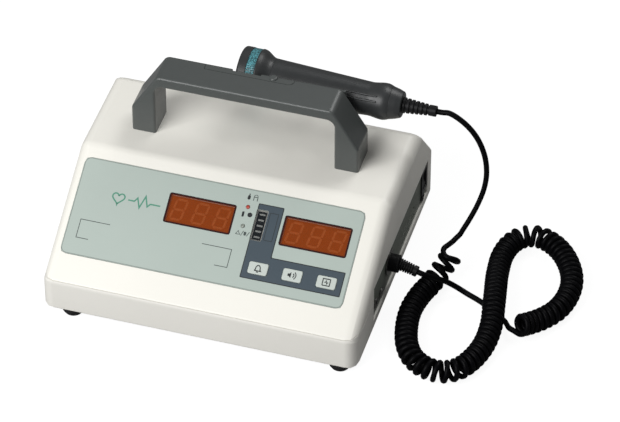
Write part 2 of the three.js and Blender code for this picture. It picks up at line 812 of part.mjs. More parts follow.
// Windows rest on the pocket's floor, and the modules stand on the board behind them
const windowFloor = panelProud - panelThickness;
for (const [side, x] of Object.entries(windows)) {
  const pane = centred(x, windowU, windowWidth, windowHeight, windowLedge);
  const paneTop = windowFloor + windowThickness;
  addPiece("display_window_" + side, slab(pane, windowFloor, paneTop), "window", slope);
  const module = box(
    x - moduleWidth / 2, x + moduleWidth / 2, windowU - digitModuleHeight / 2,
    windowU + digitModuleHeight / 2, boardFace + clearance, moduleFace,
  );
  addPiece("digit_module_" + side, module, "darkPlastic", slope);
}
const barPane = centred(barX, windowU, barWidth, barHeight, barLedge);
addPiece("level_bar_window", slab(barPane, windowFloor, windowFloor + windowThickness), "window", slope);
addPiece(
  "level_bar_module",
  box(
    barX - barModuleWidth / 2, barX + barModuleWidth / 2, windowU - barModuleHeight / 2,
    windowU + barModuleHeight / 2, boardFace + clearance, moduleFace,
  ),
  "darkPlastic",
  slope,
);

for (const [colour, u] of Object.entries(lamps)) {
  const base = boardFace + clearance;
  const domeTop = panelProud + lampProud;
  const domeStart = domeTop - lampRadius;
  const profile = [
    [0, base], [lampBaseRadius, base], [lampBaseRadius, base + lampBaseHeight],
    [lampRadius, base + lampBaseHeight], [lampRadius, domeStart],
    [lampRadius * Math.cos(Math.PI / 6), domeStart + lampRadius * Math.sin(Math.PI / 6)],
    [lampRadius * Math.cos(Math.PI / 3), domeStart + lampRadius * Math.sin(Math.PI / 3)], [0, domeTop],
  ];
  const look = colour === "red" ? "lampRed" : "lampGrey";
  addPiece("led_" + colour, turned(profile, "z", smallSides).translate(lampX, u, 0), look, slope);
}

// Keys: a cap through the panel, a flange behind the wall and a stem above its switch
for (const name of Object.keys(keyPlaces)) {
  const x = keyX(name);
  const flangeTop = -caseWall - clearance;
  const flangeBottom = flangeTop - keyFlangeThickness;
  const capOutline = centred(x, keyU, keyWidth, keyHeight, keyCornerRadius);
  const cap = solidOf(slab(capOutline, flangeBottom, panelProud + keyProud));
  const flangeOutline = centred(x, keyU, keyWidth, keyHeight, keyCornerRadius, keyFlange);
  const flange = solidOf(slab(flangeOutline, flangeBottom, flangeTop));
  const stem = solidOf(place(rod(keyStemRadius, keyBottom, flangeTop), x, keyU));
  addPiece("key_" + name, join(cap, flange, stem), "keyGrey", slope);
  const seat = boardFace + clearance;
  const half = switchSize / 2;
  const bodyTop = seat + switchHeight;
  const body = solidOf(box(x - half, x + half, keyU - half, keyU + half, seat, bodyTop));
  const plunger = solidOf(place(rod(plungerRadius, seat, bodyTop + plungerHeight), x, keyU));
  addPiece("tact_switch_" + name, join(body, plunger), "darkPlastic", slope);
}

// Display board and its two screws, driven from behind
function displayBoard() {
  const sheet = solidOf(
    box(
      displayPosts.left - displayBoardMargin, displayPosts.right + displayBoardMargin, displayBoardStart,
      displayBoardStart + displayBoardLength, boardFace - boardThickness, boardFace,
    ),
  );
  const hole = rod(
    smallScrewShankRadius + clearance, boardFace - boardThickness - overrun, boardFace + overrun,
  );
  const holes = Object.values(displayPosts).map((x) => solidOf(place(hole.clone(), x, windowU)));
  return cut(sheet, ...holes);
}
addPiece("display_board", displayBoard(), "board", slope);

// A screw that points up: the head's seat, then the shank above it
function screw(headRadius, headHeight, shankRadius, shankLength) {
  const head = -clearance - headHeight;
  return turned(
    [[0, head], [headRadius, head], [headRadius, -clearance], [shankRadius, -clearance],
      [shankRadius, shankLength], [0, shankLength]],
    "z",
    smallSides,
  );
}
for (const [side, x] of Object.entries(displayPosts)) {
  const shank = boardThickness + smallScrewShankLength - clearance;
  const fastener = screw(smallScrewHeadRadius, smallScrewHeadHeight, smallScrewShankRadius, shank);
  addPiece("display_board_screw_" + side, fastener, "steel", slope).position.set(
    x,
    windowU,
    boardFace - boardThickness,
  );
}

// Feet and case screws
for (const { name, x, y } of feet) {
  const bulge = Math.PI / 3;
  const domeHeight = footHeight - clearance;
  const profile = [
    [0, 0], [footFlatRadius, 0],
    [footRadius * Math.sin(bulge), domeHeight * (1 - Math.cos(bulge)) * Math.cos(bulge)],
    [footRadius, domeHeight * Math.sin(bulge) * Math.cos(bulge)],
    [footRadius, domeHeight], [footPegRadius, domeHeight],
    [footPegRadius, floorZ + footPegAboveFloor], [0, floorZ + footPegAboveFloor],
  ];
  addPiece("foot_" + name, turned(profile), "rubber").position.set(x, y, 0);
}
for (const { name, x, y } of screwPosts) {
  const seat = bottomZ + screwSeatAboveBottom;
  const reach = floorZ + screwPostTopAboveFloor + screwShankLength - clearance - seat;
  const fastener = screw(screwHeadRadius, screwHeadHeight, screwShankRadius, reach);
  addPiece("case_screw_" + name, fastener, "steel").position.set(x, y, seat);
}

// Handle: one moulding with rounded edges, stepped and notched at the back to let the probe's head past
function handleBody() {
  const below = handleEdge * 2;
  const barUnder = handleHeight - handleBarThickness;
  const outline = rounded([
    [-handleHalfWidth, -below, 0],
    [-handleInnerHalfWidth, -below, 0],
    [-handleInnerHalfWidth, barUnder, handleInnerRadius],
    [handleInnerHalfWidth, barUnder, handleInnerRadius],
    [handleInnerHalfWidth, -below, 0],
    [handleHalfWidth, -below, 0],
    [handleHalfWidth, handleShoulderHeight, handleShoulderRadius],
    [handleTopHalfWidth, handleHeight, handleTopRadius],
    [-handleTopHalfWidth, handleHeight, handleTopRadius],
    [-handleHalfWidth, handleShoulderHeight, handleShoulderRadius],
  ]);
  const geometry = new THREE.ExtrudeGeometry(outline, {
    depth: handleDepth - 2 * handleEdge,
    bevelThickness: handleEdge,
    bevelSize: handleEdge,
    bevelOffset: -handleEdge,
    bevelSegments: 2,
    curveSegments: 5,
  });
  geometry.rotateX(Math.PI / 2).translate(0, handleBackY - handleEdge, topZ);
  const wide = handleHalfWidth + overrun;
  const seat = solidOf(
    box(-wide, wide, handleFrontY - overrun, handleBackY + overrun, topZ - 2 * below, topZ + clearance),
  );
  const notch = solidOf(
    box(
      notchLeft, notchRight, handleBackY - notchDepth, handleBackY + overrun, barUnderZ - overrun,
      handleTopZ + overrun,
    ),
  );
  const step = solidOf(
    box(
      stepLeft, stepRight, handleBackY - stepWidth, handleBackY + overrun, handleTopZ - stepDepth,
      handleTopZ + overrun,
    ),
  );
  const pilotTop = topZ - caseWall + handleScrewShankLength + clearance;
  const pilots = [-legX, legX].flatMap((x) =>
    Object.values(handleScrewYs).map((y) =>
      solidOf(place(rod(handleScrewShankRadius + clearance, topZ, pilotTop), x, y)),
    ),
  );
  const cradlePilots = cradleScrews.map((x) =>
    solidOf(
      rod(
        cradleScrewShankRadius + clearance, cradleScrewY - cradleScrewShankLength, handleBackY + overrun, "y",
      ).translate(x, 0, cradleScrewZ),
    ),
  );
  return cut(solidOf(geometry), seat, notch, step, ...pilots, ...cradlePilots);
}

// Probe holder: a plate on the back of the bar, with two saddles that are open at the top
const cradlePlateBottom = barUnderZ + clearance;
const cradlePlateTop = cradlePlateBottom + cradleHeight;
const cradleFrontY = handleBackY + clearance;
const cradleBackY = cradleFrontY + cradleThickness;
const saddleStarts = [cradleStart, cradleStart + saddlePitch];
const cradleEnd = cradleStart + saddlePitch + saddleWidth;
const cradleMiddle = (cradleStart + cradleEnd) / 2;
const cradleScrews = [cradleMiddle - cradleScrewPitch / 2, cradleMiddle + cradleScrewPitch / 2];
const cradleScrewY = cradleBackY - cradleScrewHeadHeight - clearance;
const cradleScrewZ = (cradlePlateBottom + cradlePlateTop) / 2;
const gripRadiusAt = (x) =>
  gripStartRadius + ((gripEndRadius - gripStartRadius) * (x - gripX)) / gripTaperLength;

function probeCradle() {
  const plate = solidOf(
    box(cradleStart, cradleEnd, cradleFrontY, cradleBackY, cradlePlateBottom, cradlePlateTop),
  );
  const saddles = saddleStarts.flatMap((x) => {
    const inner = (gripRadiusAt(x) + clearance) / Math.cos(Math.PI / 2 / saddleSteps);
    const arc = (radius) =>
      Array.from({ length: saddleSteps + 1 }, (_, i) => {
        const angle = Math.PI * (1 + i / saddleSteps);
        return new THREE.Vector2(radius * Math.cos(angle), radius * Math.sin(angle));
      });
    const outline = new THREE.Shape([...arc(inner + saddleWall), ...arc(inner).reverse()]);
    const half = slab(outline, 0, saddleWidth);
    half.rotateX(Math.PI / 2).rotateZ(Math.PI / 2).translate(x, probeY, probeZ);
    const arm = box(x, x + saddleWidth, cradleFrontY, cradleBackY, probeZ - saddleWall, cradlePlateTop);
    return [solidOf(half), solidOf(arm)];
  });
  const holes = cradleScrews.flatMap((x) => [
    solidOf(
      rod(cradleScrewShankRadius + clearance, cradleFrontY - overrun, cradleBackY + overrun, "y").translate(
        x,
        0,
        cradleScrewZ,
      ),
    ),
    solidOf(
      rod(
        cradleScrewHeadRadius + clearance, cradleBackY - cradleScrewHeadHeight - clearance,
        cradleBackY + overrun, "y",
      ).translate(x, 0, cradleScrewZ),
    ),
  ]);
  return cut(join(plate, ...saddles), ...holes);
}
addPiece("handle", handleBody(), "handleGrey");
addPiece("probe_cradle", probeCradle(), "handleGrey");
["left", "right"].forEach((side, i) => {
  const headHeight = cradleScrewHeadHeight - clearance;
  const reach = cradleScrewShankLength - clearance;
  const fastener = screw(cradleScrewHeadRadius, headHeight, cradleScrewShankRadius, reach);
  fastener.rotateX(Math.PI / 2);
  addPiece("cradle_screw_" + side, fastener, "steel").position.set(
    cradleScrews[i],
    cradleScrewY,
    cradleScrewZ,
  );
});
for (const [side, x] of [["left", -legX], ["right", legX]]) {
  for (const [end, y] of Object.entries(handleScrewYs)) {
    const fastener = screw(
      handleScrewHeadRadius, handleScrewHeadHeight, handleScrewShankRadius, handleScrewShankLength,
    );
    const piece = addPiece("handle_screw_" + side + "_" + end, fastener, "steel");
    piece.position.set(x, y, topZ - caseWall);
  }
}

// Main board, battery and speaker
function mainBoard() {
  const sheet = solidOf(
    box(
      mainBoardLeft, mainBoardRight, mainBoardFront, mainBoardRear, mainBoardZ,
      mainBoardZ + boardThickness,
    ),
  );
  const holes = [];
  for (const x of [mainBoardLeft + standoffInset, mainBoardRight - standoffInset]) {
    for (const y of [mainBoardFront + standoffInset, mainBoardRear - standoffInset]) {
      const top = mainBoardZ + boardThickness + overrun;
      holes.push(solidOf(place(rod(stakeRadius + clearance, mainBoardZ - overrun, top), x, y)));
    }
  }
  return cut(sheet, ...holes);
}
addPiece("main_board", mainBoard(), "board");
const batteryOutline = rectangle(batteryLeft, batteryRight, batteryFront, batteryRear, batteryTrayWall);
addPiece(
  "battery_pack",
  slab(batteryOutline, floorZ + clearance, floorZ + clearance + batteryHeight),
  "battery",
);
const coneShare = 0.55; // of the speaker's radius, where its cone is deepest
addPiece(
  "speaker",
  turned([
    [0, speakerRim + speakerRim], [speakerRadius * coneShare, speakerRim],
    [speakerRadius - speakerRim, 0], [speakerRadius, 0], [speakerRadius, speakerRim],
    [speakerRadius - speakerRim, speakerRim], [speakerMagnetRadius, speakerBasketHeight],
    [speakerMagnetRadius, speakerHeight], [0, speakerHeight],
  ]),
  "darkPlastic",
).position.set(speakerX, speakerY, floorZ + clearance);

// Side panel: its front lies in the opening, and its flange behind the wall
const audioJacks = { earphone_jack: [earphoneY, earphoneZ], recorder_jack: [recorderY, recorderZ] };
function connectorPlate() {
  const front = solidOf(
    box(
      plateBackX, plateFaceX, bayFront + clearance, bayRear - clearance, bayBottom + clearance,
      bayTop - clearance,
    ),
  );
  const flange = solidOf(
    box(
      plateBackX, sideX - caseWall - clearance, bayFront - plateFlange, bayRear + plateFlange,
      bayBottom - plateFlange, bayTop + plateFlange,
    ),
  );
  const from = plateBackX - overrun;
  const to = plateFaceX + overrun;
  const bore = (radius, y, z, sides = roundSides) =>
    solidOf(rod(radius + clearance, from, to, "x", sides).translate(0, y, z));
  const slots = slotHeights.map((z) =>
    solidOf(box(from, to, slotFront, slotRear, z - slotWidth / 2, z + slotWidth / 2)),
  );
  const halfWidth = switchHousingWidth / 2 + clearance;
  const halfHeight = switchHousingHeight / 2 + clearance;
  const switchHole = solidOf(
    box(from, to, switchY - halfWidth, switchY + halfWidth, switchZ - halfHeight, switchZ + halfHeight),
  );
  const jackBores = Object.values(audioJacks).map(([y, z]) => bore(jackNeckRadius, y, z));
  jackBores.push(bore(powerNeckRadius, powerJackY, powerJackZ));
  return cut(join(front, flange), bore(socketRadius, socketY, socketZ), ...jackBores, switchHole, ...slots);
}
addPiece("connector_plate", connectorPlate(), "bayGrey");

// Power switch: a frame with a deep seat, and a rocker on two pins
const pivotX = plateFaceX - rockerDepth + bezelThickness;
function powerSwitchFrame() {
  const bezelFace = bezelX + bezelThickness;
  const bezel = solidOf(
    box(
      bezelX, bezelFace, switchY - bezelWidth / 2, switchY + bezelWidth / 2, switchZ - bezelHeight / 2,
      switchZ + bezelHeight / 2,
    ),
  );
  const housing = solidOf(
    box(
      plateFaceX - switchHousingDepth, bezelX + bezelThickness / 2, switchY - switchHousingWidth / 2,
      switchY + switchHousingWidth / 2, switchZ - switchHousingHeight / 2, switchZ + switchHousingHeight / 2,
    ),
  );
  const halfWidth = rockerWidth / 2 + clearance;
  const halfHeight = rockerReach + clearance;
  const seat = solidOf(
    box(
      pivotX - rockerReach - clearance, bezelFace + overrun, switchY - halfWidth, switchY + halfWidth,
      switchZ - halfHeight, switchZ + halfHeight,
    ),
  );
  const pinHole = solidOf(
    rod(rockerPinRadius + clearance, switchY - switchHousingWidth, switchY + switchHousingWidth, "y")
      .translate(pivotX, 0, switchZ),
  );
  return cut(join(bezel, housing), seat, pinHole);
}
addPiece("power_switch_frame", powerSwitchFrame(), "darkPlastic");

const rockerCornerShare = 0.9; // of the rocker's reach, up to its corners
const rockerDipShare = 0.5; // of its nose, left in the middle of its face
function powerSwitchRocker() {
  const corner = rockerReach * rockerCornerShare;
  const outline = new THREE.Shape([
    new THREE.Vector2(-rockerNose, -corner / 2),
    new THREE.Vector2(0, -rockerReach),
    new THREE.Vector2(rockerNose, -corner),
    new THREE.Vector2(rockerNose * rockerDipShare, 0),
    new THREE.Vector2(rockerNose, corner),
    new THREE.Vector2(0, rockerReach),
    new THREE.Vector2(-rockerNose, corner / 2),
  ]);
  const body = slab(outline, -rockerWidth / 2, rockerWidth / 2).rotateX(Math.PI / 2);
  const reach = rockerWidth / 2 + rockerPinLength;
  return join(solidOf(body), solidOf(rod(rockerPinRadius, -reach, reach, "y")));
}
const rocker = addPiece("power_switch_rocker", powerSwitchRocker(), "darkPlastic");
rocker.position.set(pivotX, switchY, switchZ);
rocker.rotation.y = -THREE.MathUtils.degToRad(rockerTilt);

// Sockets and jacks, turned about X
const socketFace = bezelX + bezelThickness;
const plateBehind = plateBackX - clearance;
addPiece(
  "probe_socket",
  turned(
    [
      [0, plateFaceX - socketDepth], [socketRadius, plateFaceX - socketDepth], [socketRadius, bezelX],
      [socketFlangeRadius, bezelX], [socketFlangeRadius, socketFace], [socketBore, socketFace],
      [socketBore, plateFaceX - socketBoreDepth], [0, plateFaceX - socketBoreDepth],
    ],
    "x",
  ),
  "steel",
).position.set(0, socketY, socketZ);

function jack(body, neck, flange, inside) {
  const back = plateFaceX - jackDepth;
  return turned(
    [
      [0, back], [body, back], [body, plateBehind], [neck, plateBehind], [neck, bezelX], [flange, bezelX],
      [flange, socketFace], ...inside,
    ],
    "x",
  );
}
const audioFloor = plateFaceX - audioBoreDepth;
for (const [name, [y, z]] of Object.entries(audioJacks)) {
  const inside = [[audioBore, socketFace], [audioBore, audioFloor], [0, audioFloor]];
  const piece = jack(jackBodyRadius, jackNeckRadius, jackFlangeRadius, inside);
  addPiece(name, piece, "steel").position.set(0, y, z);
}
const powerFloor = plateFaceX - powerBoreDepth;
const pinEnd = plateFaceX - clearance;
const powerInside = [
  [powerBore, socketFace], [powerBore, powerFloor], [powerPinRadius, powerFloor], [powerPinRadius, pinEnd],
  [0, pinEnd],
];
const powerJack = jack(powerBodyRadius, powerNeckRadius, powerFlangeRadius, powerInside);
addPiece("dc_jack", powerJack, "darkPlastic").position.set(0, powerJackY, powerJackZ);

// Probe
const probe = new THREE.Group();
probe.position.set(0, probeY, probeZ);
monitor.add(probe);
const rimEndX = probeFaceX + faceRimLength;
const spigotBore = spigotRadius - spigotWall;
const spigotEndX = headX + spigotLength / 2;
const faceBackX = probeFaceX + faceThickness;
addPiece(
  "probe_face",
  turned(
    [
      [0, probeFaceX], [headRadius - faceEdge, probeFaceX],
      [headRadius - faceEdge + faceEdge * Math.SQRT1_2, probeFaceX + faceEdge * (1 - Math.SQRT1_2)],
      [headRadius, probeFaceX + faceEdge], [headRadius, rimEndX], [spigotRadius, rimEndX],
      [spigotRadius, spigotEndX], [spigotBore, spigotEndX], [spigotBore, faceBackX], [0, faceBackX],
    ],
    "x",
    probeSides,
  ),
  "probeGrey",
  probe,
);
addPiece(
  "probe_band",
  ring(headRadius - bandStep, spigotRadius + clearance, bandX, bandX + bandLength, "x", probeSides),
  "teal",
  probe,
);
const discX = faceBackX + clearance;
addPiece("transducer_disc", rod(discRadius, discX, discX + discThickness, "x", roundSides), "steel", probe);

// The head's shoulder, a smooth curve from its full radius to the grip's
const headEndX = gripX - clearance;
const shoulderX = headX + headStraight;
const shoulderSteps = 5;
function shoulder() {
  const points = [];
  for (let step = 0; step <= shoulderSteps; step++) {
    const share = step / shoulderSteps;
    const fall = (1 - Math.cos(Math.PI * share)) / 2;
    points.push([headRadius + (gripStartRadius - headRadius) * fall, shoulderX + headShoulder * share]);
  }
  return points;
}
const gripSpigotX = headEndX - gripSpigotLength;
addPiece(
  "probe_head_shell",
  turned(
    [
      [spigotRadius + clearance, headX], [headRadius, headX], ...shoulder(),
      [gripSpigotRadius + clearance, headEndX], [gripSpigotRadius + clearance, spigotEndX + clearance],
      [spigotRadius + clearance, spigotEndX + clearance], [spigotRadius + clearance, headX],
    ],
    "x",
    probeSides,
  ),
  "probeGrey",
  probe,
);

// The grip: a long taper, a bulge before the tail, and two ribs on its upper front
const bulgeShares = [[0.3, 0.25], [0.52, 0.85], [0.68, 1], [0.82, 0.7]]; // of its length and of its rise
function probeGrip() {
  const outside = bulgeShares.map(([along, rise]) => [
    gripEndRadius + (gripBulgeRadius - gripEndRadius) * rise,
    gripTaperEnd + gripBulgeLength * along,
  ]);
  const body = turned(
    [
      [gripBoreStart, gripSpigotX], [gripSpigotRadius, gripSpigotX], [gripSpigotRadius, gripX],
      [gripStartRadius, gripX], [gripEndRadius, gripTaperEnd], ...outside, [gripTailRadius, gripEndX],
      [tailSpigotRadius + clearance, gripEndX], [tailSpigotRadius + clearance, tailX - tailSpigotLength],
      [gripBore, gripTaperEnd], [gripBoreStart, gripSpigotX],
    ],
    "x",
    probeSides,
  );
  const ribEnd = gripEndX - gripRibFromTail;
  const ribs = gripRibAngles.map((angle) => {
    const rib = box(
      ribEnd - gripRibLength, ribEnd, -gripRibRadius, -gripRibRoot, -gripRibWidth / 2, gripRibWidth / 2,
    );
    return solidOf(rib.rotateX(-THREE.MathUtils.degToRad(angle)));
  });
  return join(solidOf(body), ...ribs);
}
addPiece("probe_grip", probeGrip(), "probeGrey", probe);
const tailMiddle = (gripTailRadius + tailEndRadius) / 2;
addPiece(
  "probe_tail_cap",
  turned(
    [
      [tailSpigotRadius, tailX - tailSpigotLength + clearance], [tailSpigotRadius, tailX],
      [gripTailRadius, tailX], [tailMiddle, tailX + tailLength / 2 + clearance],
      [tailEndRadius, tailEndX - clearance],
      [tailEndRadius - clearance, tailEndX], [reliefStem + clearance, tailEndX],
      [reliefStem + clearance, tailX - tailSpigotLength + clearance],
      [tailSpigotRadius, tailX - tailSpigotLength + clearance],
    ],
    "x",
    probeSides,
  ),
  "probeGrey",
  probe,
);
const boreShareAt = (x) => (x - gripSpigotX) / (gripTaperEnd - gripSpigotX);
const boreAt = (x) => gripBoreStart + (gripBore - gripBoreStart) * boreShareAt(x);
const probeBoardFrom = gripX + probeBoardStart;
const probeBoardTo = gripTaperEnd - probeBoardEnd;
const probeBoardHalf = (x) => boreAt(x) - clearance - probeBoardSlack;
const probeBoardOutline = new THREE.Shape([
  new THREE.Vector2(probeBoardFrom, -probeBoardHalf(probeBoardFrom)),
  new THREE.Vector2(probeBoardTo, -probeBoardHalf(probeBoardTo)),
  new THREE.Vector2(probeBoardTo, probeBoardHalf(probeBoardTo)),
  new THREE.Vector2(probeBoardFrom, probeBoardHalf(probeBoardFrom)),
]);
addPiece(
  "probe_board",
  slab(probeBoardOutline, -probeBoardThickness / 2, probeBoardThickness / 2),
  "board",
  probe,
);

// A ribbed sleeve along its own axis, from a stem or a plain root to a smooth collar
function relief(length, collar, stemLength, rootRadius, endRadius) {
  const profile = stemLength
    ? [[0, -stemLength], [reliefStem, -stemLength], [reliefStem, 0], [rootRadius, 0]]
    : [[0, 0], [rootRadius, 0]];
  const pitch = (length - collar) / reliefRibs;
  for (let i = 0; i < reliefRibs; i++) {
    const radius = rootRadius + ((endRadius - rootRadius) * i) / reliefRibs;
    const start = i * pitch;
    profile.push(
      [radius, start + pitch * reliefRibShare], [radius - reliefGrooveDepth, start + (pitch * (1 + reliefRibShare)) / 2],
      [i + 1 < reliefRibs ? radius : endRadius, start + pitch],
    );
  }
  profile.push([endRadius, length - clearance], [endRadius - clearance, length], [0, length]);
  return turned(profile, "y", reliefSides);
}
const probeRelief = relief(
  probeReliefLength, probeReliefCollar, reliefStemLength, probeReliefRadius, reliefRadius - clearance,
);
probeRelief.rotateZ(-Math.PI / 2);
addPiece("probe_strain_relief", probeRelief, "cord", probe).position.x = probeReliefX;

// Plug, with its sleeve turned a little down and forward
const plugStart = new THREE.Vector3(plugEndX, socketY, socketZ);
const plugReliefEnd = new THREE.Vector3(
  plugEndX + plugReliefLength, socketY - plugReliefSwing, socketZ - plugReliefDrop,
);
const plugWay = plugReliefEnd.clone().sub(plugStart).normalize();
addPiece(
  "plug_body",
  turned(
    [
      [0, plateFaceX - plugNose], [plugRadius - plugEdge, plateFaceX - plugNose],
      [plugRadius, plateFaceX - plugNose + plugEdge], [plugRadius, plugEndX - plugEdge],
      [plugRadius - plugEdge, plugEndX], [0, plugEndX],
    ],
    "x",
  ),
  "cord",
).position.set(0, socketY, socketZ);
function plugStrainRelief() {
  const length = plugReliefEnd.distanceTo(plugStart);
  const root = reliefRadius + clearance;
  const tilt = new THREE.Quaternion().setFromUnitVectors(new THREE.Vector3(0, 1, 0), plugWay);
  const back = plugEdge + clearance;
  const geometry = relief(length + back, plugReliefCollar, 0, root, reliefRadius - clearance)
    .translate(0, -back, 0)
    .applyQuaternion(tilt)
    .translate(plugStart.x, plugStart.y, plugStart.z);
  const reach = plugRadius + overrun;
  const behind = box(
    plugEndX - reach, plugEndX + clearance, socketY - reach, socketY + reach, socketZ - reach,
    socketZ + reach,
  );
  return cut(solidOf(geometry), solidOf(behind));
}
addPiece("plug_strain_relief", plugStrainRelief(), "cord");

// The curls: one wire that winds round the centre line. Its pitch closes from the loose first curls to the
// close ones, and opens on the outside of each bend, so that it stays clear of itself on the inside.
const coilRadius = (coilDiameter - cordDiameter) / 2;
const fullTurn = Math.PI * 2;
function smooth(share) {
  const held = Math.min(Math.max(share, 0), 1);
  return held * held * (3 - 2 * held);
}
function curls() {
  const line = new THREE.CatmullRomCurve3(coilRoute.map((point) => new THREE.Vector3(...point)));
  line.arcLengthDivisions = coilRoute.length * 24;
  const length = line.getLength();
  const reach = closePitch * bendReachShare;
  const bendAt = (at) => {
    const from = Math.max(at - reach, 0);
    const to = Math.min(at + reach, length);
    return line.getTangentAt(from / length).angleTo(line.getTangentAt(to / length)) / (to - from);
  };
  const turnRate = (at) => {
    const loose = 1 - smooth((at - looseLength) / looseFade);
    const pitch = closePitch + (loosePitch - closePitch) * loose;
    return (fullTurn / pitch) * (1 - coilRadius * bendAt(at));
  };
  const places = [];
  for (let at = 0, angle = 0; at < length; ) {
    places.push({ at, angle });
    const step = fullTurn / (curlSteps * measureSteps * turnRate(at));
    angle += step * turnRate(Math.min(at + step / 2, length));
    at += step;
  }
  // The whole winding is stretched a little, so that it ends at its own angle.
  const start = THREE.MathUtils.degToRad(startAngle);
  const wound = places.at(-1).angle;
  const extra = THREE.MathUtils.degToRad(endAngle) - start;
  const wanted = Math.round((wound - extra) / fullTurn) * fullTurn + extra;
  const up = new THREE.Vector3(0, 0, 1);
  return places.map(({ at, angle }) => {
    const centre = line.getPointAt(at / length);
    const tangent = line.getTangentAt(at / length);
    const side = new THREE.Vector3().crossVectors(tangent, up).normalize();
    const rise = new THREE.Vector3().crossVectors(side, tangent);
    const turn = start + (angle * wanted) / wound;
    const out = side.multiplyScalar(Math.cos(turn)).addScaledVector(rise, Math.sin(turn));
    return { place: centre.addScaledVector(out, coilRadius), out };
  });
}

// The whole wire: a first half turn that hangs loose from the lead, the curls, and a straight end.
function curlyWire() {
  const wound = curls();
  const route = swingRoute.map((point) => new THREE.Vector3(...point));
  const swing = new THREE.CatmullRomCurve3([...route, wound[0].place, wound[measureSteps].place]);
  const parts = route.length + 1;
  const hanging = Array.from({ length: route.length * measureSteps }, (_, i) => ({
    place: swing.getPoint(i / measureSteps / parts),
  }));
  const [beforeLast, last] = wound.slice(-2);
  const way = last.place.clone().sub(beforeLast.place).normalize();
  const end = Array.from({ length: measureSteps }, (_, i) => ({
    place: last.place.clone().addScaledVector(way, (cordDiameter * (i + 1)) / measureSteps),
  }));
  const extra = (wound.length - 1) % measureSteps;
  return [...hanging, ...wound.slice(0, wound.length - extra), ...end];
}

// The least gap between stretches of the wire that are at least half a curl apart along it.
function leastGap(places) {
  const along = [0];
  for (let i = 1; i < places.length; i++) along.push(along[i - 1] + places[i].distanceTo(places[i - 1]));
  let least = Infinity;
  for (let i = 0; i < places.length; i++) {
    for (let j = i + 1; j < places.length; j++) {
      if (along[j] - along[i] < Math.PI * coilRadius) continue;
      least = Math.min(least, places[i].distanceTo(places[j]));
    }
  }
  return least - cordDiameter;
}

// A tube through places, with a ring of the given sides at each one. Away from the curls, where a place has
// no outward direction of its own, each ring carries on from its neighbour's.
function tube(stations, radius, sides) {
  const count = stations.length;
  stations.forEach((station, i) => {
    const from = stations[Math.max(i - 1, 0)].place;
    const to = stations[Math.min(i + 1, count - 1)].place;
    station.along = to.clone().sub(from).normalize();
  });
  const firstOut = stations.findIndex(({ out }) => out);
  for (let i = firstOut - 1; i >= 0; i--) stations[i].out = square(stations[i + 1].out, stations[i].along);
  for (let i = firstOut; i < count; i++) {
    stations[i].out = square(stations[i].out ?? stations[i - 1].out, stations[i].along);
  }
  const positions = stations.flatMap(({ place: centre, out, along }) => {
    const across = new THREE.Vector3().crossVectors(along, out);
    return Array.from({ length: sides }, (_, side) => {
      const angle = (side / sides) * fullTurn;
      return centre
        .clone()
        .addScaledVector(out, radius * Math.cos(angle))
        .addScaledVector(across, radius * Math.sin(angle))
        .toArray();
    });
  });
  const index = [];
  for (let start = 0; start + sides < count * sides; start += sides) {
    for (let side = 0; side < sides; side++) {
      const a = start + side;
      const b = start + ((side + 1) % sides);
      index.push(a, b, b + sides, a, b + sides, a + sides);
    }
  }
  const last = (count - 1) * sides;
  for (let side = 1; side + 1 < sides; side++) {
    index.push(0, side + 1, side, last, last + side, last + side + 1);
  }
  const geometry = new THREE.BufferGeometry();
  geometry.setAttribute("position", new THREE.Float32BufferAttribute(positions.flat(), 3));
  geometry.setIndex(index);
  return geometry.toNonIndexed();
}

// The part of a direction that is square to another, one long.
function square(direction, to) {
  return direction.clone().addScaledVector(to, -direction.dot(to)).normalize();
}

const wire = curlyWire();
const wireGap = leastGap(wire.map(({ place: at }) => at));
console.log(`curly cord: least gap to itself ${wireGap.toFixed(2)} mm`);
const kept = wire.filter((_, i) => i % measureSteps === 0);
addPiece("curly_cord", tube(kept, cordDiameter / 2, curlSides), "cord");

// The straight stretches at both ends. Each starts and ends straight, square to the face that it meets.
function straightCord(name, from, fromWay, route, to, toWay) {
  const straight = cordDiameter;
  const points = [
    from.clone().addScaledVector(fromWay, clearance),
    from.clone().addScaledVector(fromWay, clearance + straight),
    ...route.map((point) => new THREE.Vector3(...point)),
    to.clone().addScaledVector(toWay, -clearance - straight),
    to.clone().addScaledVector(toWay, -clearance),
  ];
  const path = new THREE.CatmullRomCurve3(points, false, "centripetal");
  const length = path.getLength();
  const section = new THREE.Shape(circle(0, 0, cordDiameter / 2, cordSides).getPoints());
  const steps = Math.round(length / (2 * cordDiameter));
  addPiece(name, new THREE.ExtrudeGeometry(section, { steps, extrudePath: path }), "cord");
  console.log(`${name}: ${length.toFixed(1)} mm`);
}
const alongX = new THREE.Vector3(1, 0, 0);
const reliefEnd = new THREE.Vector3(leadX - clearance, probeY, probeZ);
const [wireStart] = kept;
const wireEnd = kept.at(-1);
straightCord("probe_lead", reliefEnd, alongX, leadRoute, wireStart.place, wireStart.along);
straightCord("plug_lead", wireEnd.place, wireEnd.along, tailRoute, plugReliefEnd, plugWay.clone().negate());

export default monitor;
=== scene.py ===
"""The looks of a table-top fetal doppler monitor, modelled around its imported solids.

It is laid out as an add-on: the sizes and colours that a user would change are properties, each piece or
group of like pieces has its own operator, and main() calls the operators in order. Sizes in the tables and
properties are millimetres. Everything in the scene is in metres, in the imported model's own frame.
"""

import math
from bisect import bisect

import bmesh
import bpy
from mathutils import Matrix, Vector


